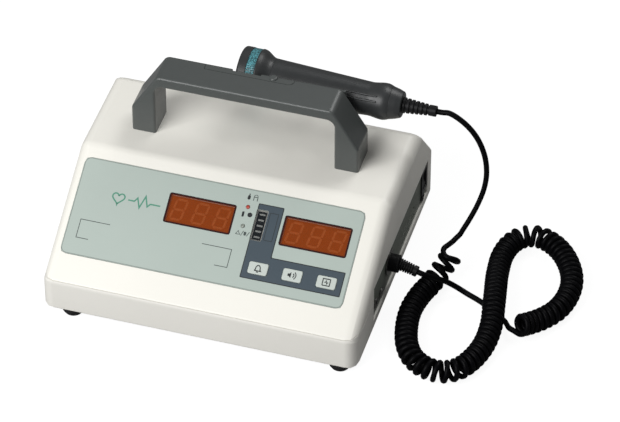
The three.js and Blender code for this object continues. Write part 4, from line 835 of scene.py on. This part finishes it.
def curls(settings):
    """The wire's middle line in the curls, which open on the outside of each bend."""
    line = Route(COIL_ROUTE)
    radius = (settings.coil - settings.diameter) / 2
    reach = settings.close_pitch * BEND_REACH_SHARE

    def turn_rate(at):
        start, end = max(at - reach, 0), min(at + reach, line.length)
        bend = line.way(start).angle(line.way(end), 0.0) / (end - start)
        share = min(max((at - LOOSE_LENGTH) / LOOSE_FADE, 0), 1)
        loose = 1 - share * share * (3 - 2 * share)
        pitch = settings.close_pitch + (settings.loose_pitch - settings.close_pitch) * loose
        return FULL_TURN / pitch * (1 - radius * bend)

    stations = []
    at = angle = 0.0
    while at < line.length:
        stations.append((at, angle))
        step = FULL_TURN / (CURL_STEPS * turn_rate(at))
        angle += step * turn_rate(min(at + step / 2, line.length))
        at += step
    wound = stations[-1][1]
    extra = END_ANGLE - START_ANGLE
    wanted = round((wound - extra) / FULL_TURN) * FULL_TURN + extra
    points = []
    for at, angle in stations:
        way = line.way(at)
        side = way.cross(Vector((0, 0, 1))).normalized()
        rise = side.cross(way)
        turn = START_ANGLE + angle * wanted / wound
        out = side * math.cos(turn) + rise * math.sin(turn)
        points.append(line.point(at) + out * radius)
    return points


def cord_path(settings):
    """The whole cord's middle line, from the probe's sleeve to the plug's."""
    wound = curls(settings)
    swing = Route([*SWING_ROUTE, wound[0], wound[MEETING_POINT]])
    parts = SWING_STEPS * (len(SWING_ROUTE) + 1)
    hanging = [swing.at(i / parts) for i in range(len(SWING_ROUTE) * SWING_STEPS)]
    way = (wound[-1] - wound[-2]).normalized()
    wire_end = wound[-1] + way * settings.diameter
    relief_end, plug_end = Vector(RELIEF_END), Vector(PLUG_RELIEF_END)
    plug_way = (plug_end - Vector(PLUG_END)).normalized()
    lead_way = (hanging[0] - hanging[1]).normalized()
    lead = Route([
        relief_end, relief_end + Vector((settings.diameter, 0, 0)), *LEAD_ROUTE,
        hanging[0] + lead_way * settings.diameter, hanging[0],
    ])
    tail = Route([
        wire_end, wire_end + way * settings.diameter, *TAIL_ROUTE,
        plug_end + plug_way * (settings.diameter + CORD_GAP), plug_end + plug_way * CORD_GAP,
    ])
    lead_points = [lead.point(lead.length * i / STRAIGHT_STEPS) for i in range(STRAIGHT_STEPS)]
    tail_points = [tail.point(tail.length * i / STRAIGHT_STEPS) for i in range(STRAIGHT_STEPS + 1)]
    return [*lead_points, *hanging, *wound, *tail_points]


def wire(name, points, diameter):
    """A round wire along points: a curve with a round section, turned into a mesh."""
    data = bpy.data.curves.new(name, "CURVE")
    data.dimensions = "3D"
    data.bevel_depth = diameter / 2 * MM
    data.bevel_resolution = WIRE_SIDES // 4 - 1
    data.use_fill_caps = True
    spline = data.splines.new("POLY")
    spline.points.add(len(points) - 1)
    for slot, point in zip(spline.points, points):
        slot.co = (*(point * MM), 1)
    piece = bpy.data.objects.new(name, data)
    bpy.context.scene.collection.objects.link(piece)
    take(piece)
    bpy.ops.object.convert(target="MESH")
    piece = bpy.context.object
    edit(piece, outward)
    bpy.ops.object.shade_smooth_by_angle(angle=math.radians(WIRE_SMOOTH))
    return piece


# Operators


class Step:
    """What the operators share: each makes its pieces from a group of settings."""

    group = None

    def execute(self, context):
        self.build(getattr(context.scene, self.group) if self.group else None)
        return {"FINISHED"}


class MONITOR_OT_stage(Step, bpy.types.Operator):
    """Set up the camera, the lamps, the room light and the floor"""

    bl_idname = "monitor.stage"
    bl_label = "Stage"
    group = "monitor_stage"

    def build(self, settings):
        scene = bpy.context.scene
        turn, level = settings.azimuth, math.cos(settings.elevation)
        back = Vector((math.sin(turn) * level, -math.cos(turn) * level, math.sin(settings.elevation)))
        bpy.ops.object.camera_add(location=Vector(settings.target) + back * settings.distance)
        scene.camera = self.facing("camera", -back)
        lens = scene.camera.data
        lens.lens, lens.sensor_width, lens.clip_end = settings.lens, SENSOR_WIDTH, CLIP_END
        for name, (at, size, share) in LAMPS.items():
            bpy.ops.object.light_add(type="AREA", location=at)
            lamp = self.facing(name, LAMP_TARGET - Vector(at))
            lamp.data.size, lamp.data.energy = size, settings.main_power * share
        self.floor(settings)
        self.room(scene, settings)
        scene.view_settings.view_transform = "Standard"

    def facing(self, name, way):
        """Names the new object and turns it to look a way."""
        made = bpy.context.object
        made.name = name
        made.rotation_euler = way.to_track_quat("-Z", "Y").to_euler()
        return made

    def floor(self, settings):
        """A plain floor that is white to the camera and keeps the monitor's shadow."""
        bpy.ops.object.select_all(action="DESELECT")
        bpy.ops.mesh.primitive_plane_add(size=FLOOR_SIZE)
        plane = bpy.context.object
        plane.name = "floor"
        edit(plane, lambda: bpy.ops.mesh.subdivide(number_cuts=3))
        look = Look("floor_paper")
        seen = look.seen()
        look.finish(base_color=look.mix(FLOOR_SHADE, settings.floor, seen), roughness=0.9,
                    specular_ior_level=0.1, normal=look.bump(look.noise(2.0), 0.02))
        glow = look.node("ShaderNodeEmission", {"Color": (1, 1, 1), "Strength": FLOOR_GLOW})
        both = {0: seen * FLOOR_GLOW_SHARE, 1: Signal(look, look.shader.outputs[0]), 2: glow}
        look.put(look.surface, look.node("ShaderNodeMixShader", both))
        plane.data.materials.append(look.material)

    def room(self, scene, settings):
        """Even light from all round, which the camera sees as white."""
        scene.world = bpy.data.worlds.new("room")
        tree = Tree(scene.world)
        background = tree.nodes["Background"]
        tree.put(background.inputs["Color"], (1, 1, 1))
        strength = tree.node("ShaderNodeMapRange", {"Value": tree.seen(), "To Min": settings.ambient})
        tree.put(background.inputs["Strength"], strength)


class MONITOR_OT_cord(Step, bpy.types.Operator):
    """Model the curly cord in one length, from the probe's sleeve to the plug's"""

    bl_idname = "monitor.cord"
    bl_label = "Curly cord"
    group = "monitor_cord"

    def build(self, settings):
        points = cord_path(settings)
        piece = wire("cord", points, settings.diameter)
        piece.data.materials.append(rubber(
            "cord_sheath", settings.sheath, roughness=0.42, dust=(2.0, 4.0), lighter=0.003, rougher=0.14,
            grain=0.6, specular=0.06,
        ))
        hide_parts("probe_lead", "curly_cord", "plug_lead")
        path = [tuple(point * MM) for point in points]
        walked = sum((b - a).length for a, b in zip(points, points[1:])) * MM
        sleeves = self.sleeves(rubber("sleeve_rubber", settings.rubber, roughness=0.46))
        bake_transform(piece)

    def sleeves(self, look):
        """The probe's sleeve, the plug's sleeve and the plug."""
        start, end = Vector(PLUG_END), Vector(PLUG_RELIEF_END)
        turn = Vector((1, 0, 0)).rotation_difference(end - start).to_matrix().to_4x4()
        pieces = [
            ("probe_sleeve", "probe", "probe_strain_relief", 48, shift(PROBE_SLEEVE_START, *PROBE_AXIS),
             [(0, -4, 0), (3, -4, 0.2), (3, 0, 0), *self.ribs(PROBE_SLEEVE_LENGTH, 6, 6.3)]),
            ("plug_sleeve", "case", "plug_strain_relief", 48, shift(*start) @ turn,
             [(0, 0, 0), *self.ribs((end - start).length, 3.4, 4.95)]),
            ("plug", "case", "plug_body", 64, shift(0, *PLUG_END[1:]), self.plug()),
        ]
        return [
            place(lathe(name, corners, "X", sides, at), body, look, node, slot="relief_rubber")
            for name, body, node, sides, at, corners in pieces
        ]

    def ribs(self, sleeve_length, collar, root):
        """The outside of a sleeve: ribs that grow thinner, then a smooth collar."""
        pitch = (sleeve_length - collar) / RIB_COUNT
        outside = []
        for i in range(RIB_COUNT):
            radius = root + (SLEEVE_END_RADIUS - root) * i / RIB_COUNT
            inner = radius - RIB_DEPTH
            rib = [(radius, 0, 0.35), (radius, 0.58, 0.35), (inner, 0.66, 0.2), (inner, 0.92, 0.2)]
            outside += [(out, (i + share) * pitch, edge) for out, share, edge in rib]
        end = [(SLEEVE_END_RADIUS, sleeve_length - collar, 0.35), (SLEEVE_END_RADIUS, sleeve_length, 0.5)]
        return [*outside, *end, (0, sleeve_length, 0)]

    def plug(self):
        """The plug's outline, with a step and a grip of grooves."""
        slim, end = PLUG_RADIUS - PLUG_GRIP, PLUG_END[0]
        outline = [(0, PLUG_START, 0), (slim, PLUG_START, 0.6), (slim, PLUG_STEP, 0.2)]
        outline.append((PLUG_RADIUS, PLUG_STEP, 0.3))
        for i in range(GROOVE_COUNT):
            at = GROOVE_START + GROOVE_PITCH * i
            outline += [(PLUG_RADIUS, at, 0.2), (slim, at + 0.2, 0.1), (PLUG_RADIUS, at + 0.45, 0.2)]
        return [*outline, (PLUG_RADIUS, end - 0.6, 0.3), (PLUG_RADIUS - 1.2, end, 0.4), (0, end, 0)]


class MONITOR_OT_case(Step, bpy.types.Operator):
    """Finish the two shells, and model the feet"""

    bl_idname = "monitor.case"
    bl_label = "Case and feet"
    group = "monitor_case"

    def build(self, settings):
        skin("upper_case", moulded("upper_plastic", settings.upper, 0.42, patch=0.02), "shell_white")
        skin("lower_case", moulded("lower_plastic", settings.lower, 0.45, patch=0.02), "shell_grey")
        look = rubber("foot_rubber", settings.feet)
        corners = [
            (0, 0, 0), (7, 0, 1), (9, 3.4, 2.4), (9, 5.9, 0.3), (2.5, 5.9, 0), (2.5, 11.2, 0.4), (0, 11.2, 0),
        ]
        for end, y in FOOT_Y.items():
            for side, x in FOOT_X.items():
                node = f"foot_{end}_{side}"
                foot = lathe(node + "_rubber", corners, "Z", 48, shift(x, y), 6)
                place(foot, "case", look, node, slot="foot_rubber")


class MONITOR_OT_side_panel(Step, bpy.types.Operator):
    """Finish the panel in the right side, its switch, its sockets and its jacks"""

    bl_idname = "monitor.side_panel"
    bl_label = "Side panel"
    group = "monitor_case"

    def build(self, settings):
        skin("connector_plate", moulded("bay_plastic", settings.bay, 0.5, depth=0.02), "bay", 0.2)
        black = moulded("black_plastic", linear("222224"), 0.42)
        skin("power_switch_frame", black, "black_plastic", 0.2)
        skin("power_switch_rocker", black, "black_plastic", 0.3, "power_rocker")
        skin("dc_jack", black, "black_plastic", 0.1)
        nickel = metal("nickel", linear("7c7c79"), 0.32)
        for node in ("probe_socket", "earphone_jack", "recorder_jack"):
            skin(node, nickel, "socket_metal", 0.1)


def heart(x, u, size):
    """A plain heart with a pulse line beside it."""
    outline = []
    for i in range(40):
        t = FULL_TURN * i / 40
        up = 13 * math.cos(t) - 5 * math.cos(2 * t) - 2 * math.cos(3 * t) - math.cos(4 * t)
        outline.append((x + 16 * math.sin(t) ** 3 * size, u + up * size))
    pulse = [(8, 0), (13, 0), (15, 3), (18, -4.5), (21, 5.5), (24, -2.5), (26, 0), (34, 0)]
    return [stroke(outline, 1.1), stroke([(x + a, u + b) for a, b in pulse], 1.1)]


def field(inset, radius):
    """The outline of the area round the keys and beside the level display, drawn in by an inset."""
    left, post, right = FIELD_LEFT + inset, FIELD_POST - inset, FIELD_RIGHT - inset
    low, shelf, high = FIELD_LOW + inset, FIELD_SHELF - inset, FIELD_HIGH - inset
    corners = [(left, low), (right, low), (right, shelf), (post, shelf), (post, high), (left, high)]
    return rounded([(*corner, radius) for corner in corners], 4)


# What is printed on the film
PRINTS = {
    "name_brackets": [
        stroke([(-84.8, 53.5), (-108.5, 53.5), (-108.5, 38.5), (-98.6, 38.5)], 0.55),
        stroke([(-10, 53.5), (13.9, 53.5), (13.9, 38.7), (3.6, 38.7)], 0.55),
    ],
    "lamp_marks": [
        rectangle(15.2, 83.2, 1.7, 4.2, 0.3), disc(20.7, 83.5, 1.9), rectangle(16.6, 97.2, 2.2, 3.6, 0.9),
        rectangle(16.6, 99.7, 0.9, 1.2, 0.2),
    ],
    "lamp_symbols": [
        stroke([(20.4, 95.2), (20.4, 98.3), (23.4, 98.3), (23.4, 95.2)], 0.6),
        stroke(arc(21.9, 98.6, 1.5, 0, 180), 0.45), stroke([(17.6, 65.8), (19.2, 70.0)], 0.45),
        stroke([(13.4, 66.6), (15.1, 69.4), (16.8, 66.6), (13.6, 66.6)], 0.45),
        rectangle(20.7, 68.0, 2.0, 3.0, 0.6), stroke([(22.3, 66.2), (24.0, 69.8)], 0.5),
    ],
    "heart_symbol": heart(-84, 76, 10.5 / 34),
}


class MONITOR_OT_front(Step, bpy.types.Operator):
    """Finish the front film, and print its key field, lines and marks"""

    bl_idname = "monitor.front"
    bl_label = "Front film"
    group = "monitor_front"

    def build(self, settings):
        film = even("front_film", settings.film, (0.97, 1.02), (40.0, 3.0), (0.1, 0.36, 5.0), (0.008, 0.4))
        skin("front_overlay", film, "panel", 0.12)
        holes = [rectangle(x, KEY_U, *KEY_HOLE) for x in KEY_X.values()]
        holes.append(rectangle(BAR_X, WINDOW_U, *BAR_HOLE))
        edge = ink("field_edge_ink", settings.field_edge)
        self.area("key_field_edge", field(0, 0.8), EDGE_INK, holes, edge)
        self.area("key_field", field(FIELD_EDGE, 0.4), FIELD_INK, holes, ink("field_ink", settings.field))
        hole = rectangle(*LEVEL_MIDDLE, *LEVEL_INSIDE)
        self.area("level_frame", rectangle(*LEVEL_MIDDLE, *LEVEL_FRAME), FRAME_INK, [hole], edge)
        hole = rectangle(*FILM_MIDDLE, *FILM_INSIDE)
        pale = ink("edge_ink", linear("87918b"))
        self.area("film_edge", rectangle(*FILM_MIDDLE, *FILM_EDGE), EDGE_INK, [hole], pale)
        marks = ink("mark_ink", settings.ink)
        dark, green = ink("dark_ink", linear("161b1e")), ink("green_ink", linear("4f8f78"))
        looks = {"lamp_marks": dark, "heart_symbol": green}
        for name, outlines in PRINTS.items():
            place(flat(name, outlines, INK), "case", looks.get(name, marks))

    def area(self, name, outline, heights, holes, look):
        """A printed area with holes."""
        place(flat(name, [outline], heights, holes), "case", look, slot="panel")


class MONITOR_OT_displays(Step, bpy.types.Operator):
    """Finish the three windows, and model the segments behind them"""

    bl_idname = "monitor.displays"
    bl_label = "Displays"
    group = "monitor_front"

    def build(self, settings):
        face = display_face("digit_face_plastic", settings.digit_face)
        segment = ink("segment_resin", settings.segment, 0.25)
        black = display_face("level_face_plastic", linear("0c0e10"))
        for side, x in WINDOW_X.items():
            skin(f"display_window_{side}", window_glass(f"window_{side}_glass", x, settings), "window", 0.1)
            back = slab(f"digit_face_{side}", rectangle(x, WINDOW_U, *DIGIT_FACE), *DISPLAY_FACE, 0.2)
            place(on_slope(back), "case", face, slot="display")
            segments = [outline for i in (-1, 0, 1) for outline in self.digit(x + i * DIGIT_PITCH, WINDOW_U)]
            place(flat(f"digits_{side}", segments, DIGIT_SEGMENT), "case", segment, slot="display")
        dress(black, "digit_module_left", "digit_module_right", "level_bar_module")
        skin("level_bar_window", clear_window(), "window", 0.1)
        back = slab("level_face", rectangle(BAR_X, WINDOW_U, *BAR_FACE), *DISPLAY_FACE, 0.1)
        place(on_slope(back), "case", black, slot="display")
        lowest = WINDOW_U - BAR_STEP * (BAR_STEPS - 1) / 2
        bars = [rectangle(BAR_X + BAR_SHIFT, lowest + BAR_STEP * i, *BAR_SEGMENT) for i in range(BAR_STEPS)]
        look = ink("level_resin", settings.level, 0.25)
        place(flat("level_segments", bars, LEVEL_SEGMENT), "case", look, slot="display")

    def digit(self, x, u):
        """The outlines of a digit's seven segments."""
        t = SEGMENT_WIDTH / 2
        half, level = DIGIT_HEIGHT / 2 - t, DIGIT_WIDTH / 2 - t
        lies = [(0, half), (0, 0), (0, -half)]
        stands = [(side * level, up * half / 2) for side in (-1, 1) for up in (-1, 1)]
        outlines = []
        for cx, cy in lies + stands:
            r = (half / 2 if cx else level) - SEGMENT_GAP
            outline = [(-r, 0), (t - r, t), (r - t, t), (r, 0), (r - t, -t), (t - r, -t)]
            if cx:
                outline = [(-b, a) for a, b in outline]
            outlines.append([(x + cx + a + (cy + b) * DIGIT_LEAN, u + cy + b) for a, b in outline])
        return outlines


def symbols():
    """A bell, a loudspeaker and a sheet with a trace, each round the middle of its key."""
    bell = [(-2.6, -2.0), (-1.9, -1.2), (-1.7, 0.8), (-0.9, 2.1), (0, 2.5)]
    bell += [(-x, y) for x, y in bell[-2::-1]]
    horn = [(-3.6, -1.0), (-2.4, -1.0), (-0.9, -2.4), (-0.9, 2.4), (-2.4, 1.0), (-3.6, 1.0)]
    sheet = [(-2.9, -2.7), (-2.9, 2.7), (2.9, 2.7), (2.9, -2.7), (-2.6, -2.7)]
    trace = [(-1.7, -0.2), (-0.7, -0.2), (-0.2, 1.3), (0.5, -1.3), (0.9, -0.2), (1.7, -0.2)]
    return {
        "left": [stroke([*bell, (-2.5, -2.0)], 0.8), stroke([(-0.8, -3.0), (0.8, -3.0)], 0.8)],
        "middle": [horn, *[stroke(arc(-0.6, 0, radius, -50, 50), 0.75) for radius in (2.0, 3.6)]],
        "right": [stroke(sheet, 0.8), stroke(trace, 0.6)],
    }


class MONITOR_OT_keys(Step, bpy.types.Operator):
    """Finish the three keys with a symbol on each, and model the two lamps"""

    bl_idname = "monitor.keys"
    bl_label = "Keys and lamps"
    group = "monitor_front"

    def build(self, settings):
        look = moulded("key_plastic", settings.key, 0.42, grain=0.4, depth=0.01, patch=0.02, patch_size=9.0)
        symbol = ink("key_ink", linear("1c2224"))
        for side, outlines in symbols().items():
            node = f"key_{side}"
            key = copy_of(node)
            key.data.transform(SLOPE.inverted())
            round_top(key, KEY_TOP, KEY_ROUND)
            place(on_slope(smooth(key)), node, look, node, slot="key")
            outlines = [[(KEY_X[side] + a, KEY_U + b) for a, b in outline] for outline in outlines]
            place(flat(f"key_{side}_symbol", outlines, KEY_INK), node, symbol, slot="key")
        corners = [(0, 0.6, 0), (1.5, 0.6, 1.3), (1.5, -5.2, 0), (1.9, -5.2, 0), (1.9, -10.6, 0)]
        corners.append((0, -10.6, 0))
        for tone, code in (("red", "b5483c"), ("grey", "8e948c")):
            lamp = lathe(f"lamp_{tone}", corners, "Z", 32, SLOPE @ shift(LAMP_X, LAMP_U[tone]), 8)
            resin = even(f"lamp_{tone}_resin", linear(code), (0.75, 1.2), (1.5,), 0.18, coat_weight=0.5)
            place(lamp, "case", resin, f"led_{tone}", slot=f"lamp_{tone}")


class MONITOR_OT_handle(Step, bpy.types.Operator):
    """Model the carrying handle, and finish the probe's holder"""

    bl_idname = "monitor.handle"
    bl_label = "Handle"
    group = "monitor_handle"

    def build(self, settings):
        look = moulded("handle_plastic", settings.plastic, 0.42, grain=0.45, depth=0.015, coat=0.25)
        place(self.handle(settings), "case", look, "handle", slot="handle")
        skin("probe_cradle", look, "handle", 0.25)

    def handle(self, settings):
        """The arch seen from the front, thickened, rounded, and notched behind for the probe's head."""
        half = [(72.5, 47.6, 7), (72.5, HANDLE_FOOT, 0), (92, HANDLE_FOOT, 0), (92, 22.8, 6), (71, 57.2, 6)]
        outline = rounded([*half, *[(-x, z, radius) for x, z, radius in half[::-1]]], 10)
        piece = slab("handle_moulding", outline, *HANDLE_DEPTH)

        def long_edge(a, b):
            return abs(a.z - b.z) < NEAR and not all(abs(end.y - HANDLE_FOOT) < NEAR for end in (a, b))

        round_edges(piece, long_edge, settings.edge, 5)
        turn = Matrix.Rotation(math.radians(90), 4, "X")
        piece.data.transform(shift(z=HANDLE_BASE) @ turn @ Matrix.Diagonal((1, 1, -1, 1)))
        notch = slab("notch", rectangle(*NOTCH), *NOTCH_DEPTH)
        notch.data.transform(turn)
        for part in (piece, notch):
            edit(part, outward)
        line = [(-38.7, 46), (-38.7, 37.6), (-38.1, 37), (29, 37), (31.8, 38.2), (33, 41), (33, 46)]
        cut(piece, notch, slab("line", stroke(line, GROOVE_WIDTH), *GROOVE_HEIGHTS))
        knob = slab("knob", disc(*KNOB), *KNOB_HEIGHTS, 1.3)
        return smooth(join([piece, knob], "handle_moulding"), TURNED_SMOOTH)


def shoulder():
    """The curve that takes the head down to the grip."""
    wide, slim = SHOULDER_RADII
    points = []
    for share in [step / 10 for step in range(2, 11)]:
        fall = (1 - math.cos(math.pi * share)) / 2
        points.append((wide + (slim - wide) * fall, SHOULDER_START + SHOULDER_REACH * share, 0))
    return points


def bulge():
    """The swelling before the tail, which keeps a hand from sliding off."""
    low, high, end = BULGE_RADII
    points = []
    for share in [step / 12 for step in range(1, 12)]:
        rise = math.sin(math.pi * min(share / BULGE_TOP_SHARE, 1) / 2) ** 2
        fall = max((share - BULGE_TOP_SHARE) / (1 - BULGE_TOP_SHARE), 0) ** 2
        points.append((low + (high - low) * rise + (end - high) * fall, BULGE_START + BULGE_REACH * share, 0))
    return points


# The probe's pieces: the solid that each stands for, and the corners of its profile
PROBE_PARTS = {
    "probe_face_shell": ("probe_face", [
        (0, -17, 0), (22.5, -17, 2), (22.5, -9.6, 0.25), (17.7, -9.6, 0), (17.7, 1.9, 0), (15.5, 1.9, 0),
        (15.5, -14, 0), (0, -14, 0),
    ]),
    "probe_ring": ("probe_band", [(18.0, -9.5, 0), (22.2, -9.5, 0.3), (22.2, -2.7, 0.3), (18.0, -2.7, 0)]),
    "probe_head": ("probe_head_shell", [
        (18.0, -2.6, 0), (22.5, -2.6, 0.3), (22.5, -1.6, 2), *shoulder(), (14.4, 9.4, 0), (14.4, 2.2, 0),
        (18.0, 2.2, 0),
    ]),
    "probe_handgrip": ("probe_grip", [
        (12.2, 1.2, 0), (14.1, 1.2, 0), (14.1, 9.5, 0), (17.1, 9.5, 0.1), (13.2, 87.5, 14), *bulge(),
        (13.0, 104.6, 0.1), (10.2, 104.6, 0), (10.2, 99.8, 0), (11, 87.5, 0),
    ]),
    "probe_tail": ("probe_tail_cap", [
        (9.9, 100.1, 0), (9.9, 104.7, 0), (13.0, 104.7, 0.1), (11.8, 109.5, 9), (10.4, 113.4, 1),
        (9.9, 113.9, 0.2), (3.3, 113.9, 0), (3.3, 100.1, 0),
    ]),
}


class MONITOR_OT_probe(Step, bpy.types.Operator):
    """Model the hand probe: face, ring, head, grip with its ribs, and tail cap"""

    bl_idname = "monitor.probe"
    bl_label = "Hand probe"
    group = "monitor_probe"

    def build(self, settings):
        shell = moulded("probe_plastic", settings.plastic, 0.4, grain=0.4, patch=0.04)
        band = ringed("band_plastic", settings.band)
        for name, (node, corners) in PROBE_PARTS.items():
            hollow = corners[0][0] > 0
            piece = lathe(name, corners, "X", 96, shift(0, *PROBE_AXIS), 6, closed=hollow)
            look, slot = (band, "band") if node == "probe_band" else (shell, "probe")
            place(piece, "probe", look, node, slot=slot)
        ribs = []
        for angle in FINGER_RIB_ANGLES:
            rib = slab(f"rib_{angle}", rectangle(*FINGER_RIB), *FINGER_RIB_HEIGHTS, 0.6)
            edit(rib, outward)
            rib.data.transform(shift(0, *PROBE_AXIS) @ Matrix.Rotation(math.radians(90 - angle), 4, "X"))
            ribs.append(rib)
        place(smooth(join(ribs, "probe_finger_ribs"), TURNED_SMOOTH), "probe", shell, slot="probe")


class MONITOR_OT_inside(Step, bpy.types.Operator):
    """Finish what the case and the probe hold, and the screws"""

    bl_idname = "monitor.inside"
    bl_label = "Inside and screws"

    def build(self, _):
        dress(circuit_board("board_lacquer", linear("2c6a3c")), "display_board", "main_board", "probe_board")
        wrinkled = (14.0, 3.0)
        dress(even(
            "battery_sleeve", linear("2f4f78"), (0.85, 1.15), wrinkled, 0.3, (0.3, *wrinkled), coat_weight=0.4
        ), "battery_pack")
        dress(paper_cone("speaker_paper", linear("262626"), (-62, -48)), "speaker")
        dress(metal("silvered_ceramic", linear("c8c2ae"), 0.4), "transducer_disc")
        black = moulded("switch_plastic", linear("202023"), 0.5, grain=0.4, depth=0.02)
        dress(black, *[f"tact_switch_{side}" for side in KEY_X])
        dress(metal("zinc", linear("b9bcc2"), 0.38), *[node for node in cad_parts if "screw" in node])


class MONITOR_PT_sidebar(bpy.types.Panel):
    """Lists the steps that make the monitor, and the settings of each"""

    bl_label = "Fetal doppler monitor"
    bl_idname = "MONITOR_PT_sidebar"
    bl_space_type = "VIEW_3D"
    bl_region_type = "UI"
    bl_category = "Monitor"

    def draw(self, context):
        for group in (*GROUPS, None):
            box = self.layout.box()
            for operator in STEPS:
                if operator.group == group:
                    box.operator(operator.bl_idname)
            if group:
                for name in GROUPS[group].__annotations__:
                    box.prop(getattr(context.scene, group), name)


STEPS = [
    MONITOR_OT_stage, MONITOR_OT_cord, MONITOR_OT_case, MONITOR_OT_side_panel, MONITOR_OT_front,
    MONITOR_OT_displays, MONITOR_OT_keys, MONITOR_OT_handle, MONITOR_OT_probe, MONITOR_OT_inside,
]
GROUPS = {
    "monitor_stage": StageSettings,
    "monitor_cord": CordSettings,
    "monitor_case": CaseSettings,
    "monitor_front": FrontSettings,
    "monitor_handle": HandleSettings,
    "monitor_probe": ProbeSettings,
}


def register():
    for name, group in GROUPS.items():
        bpy.utils.register_class(group)
        setattr(bpy.types.Scene, name, bpy.props.PointerProperty(type=group))
    for made in (*STEPS, MONITOR_PT_sidebar):
        bpy.utils.register_class(made)


def unregister():
    for made in (MONITOR_PT_sidebar, *reversed(STEPS)):
        bpy.utils.unregister_class(made)
    for name, group in reversed(GROUPS.items()):
        delattr(bpy.types.Scene, name)
        bpy.utils.unregister_class(group)


def main():
    """Makes the whole monitor."""
    register()
    for operator in STEPS:
        group, name = operator.bl_idname.split(".")
        getattr(getattr(bpy.ops, group), name)()


if __name__ == "__main__":
    main()
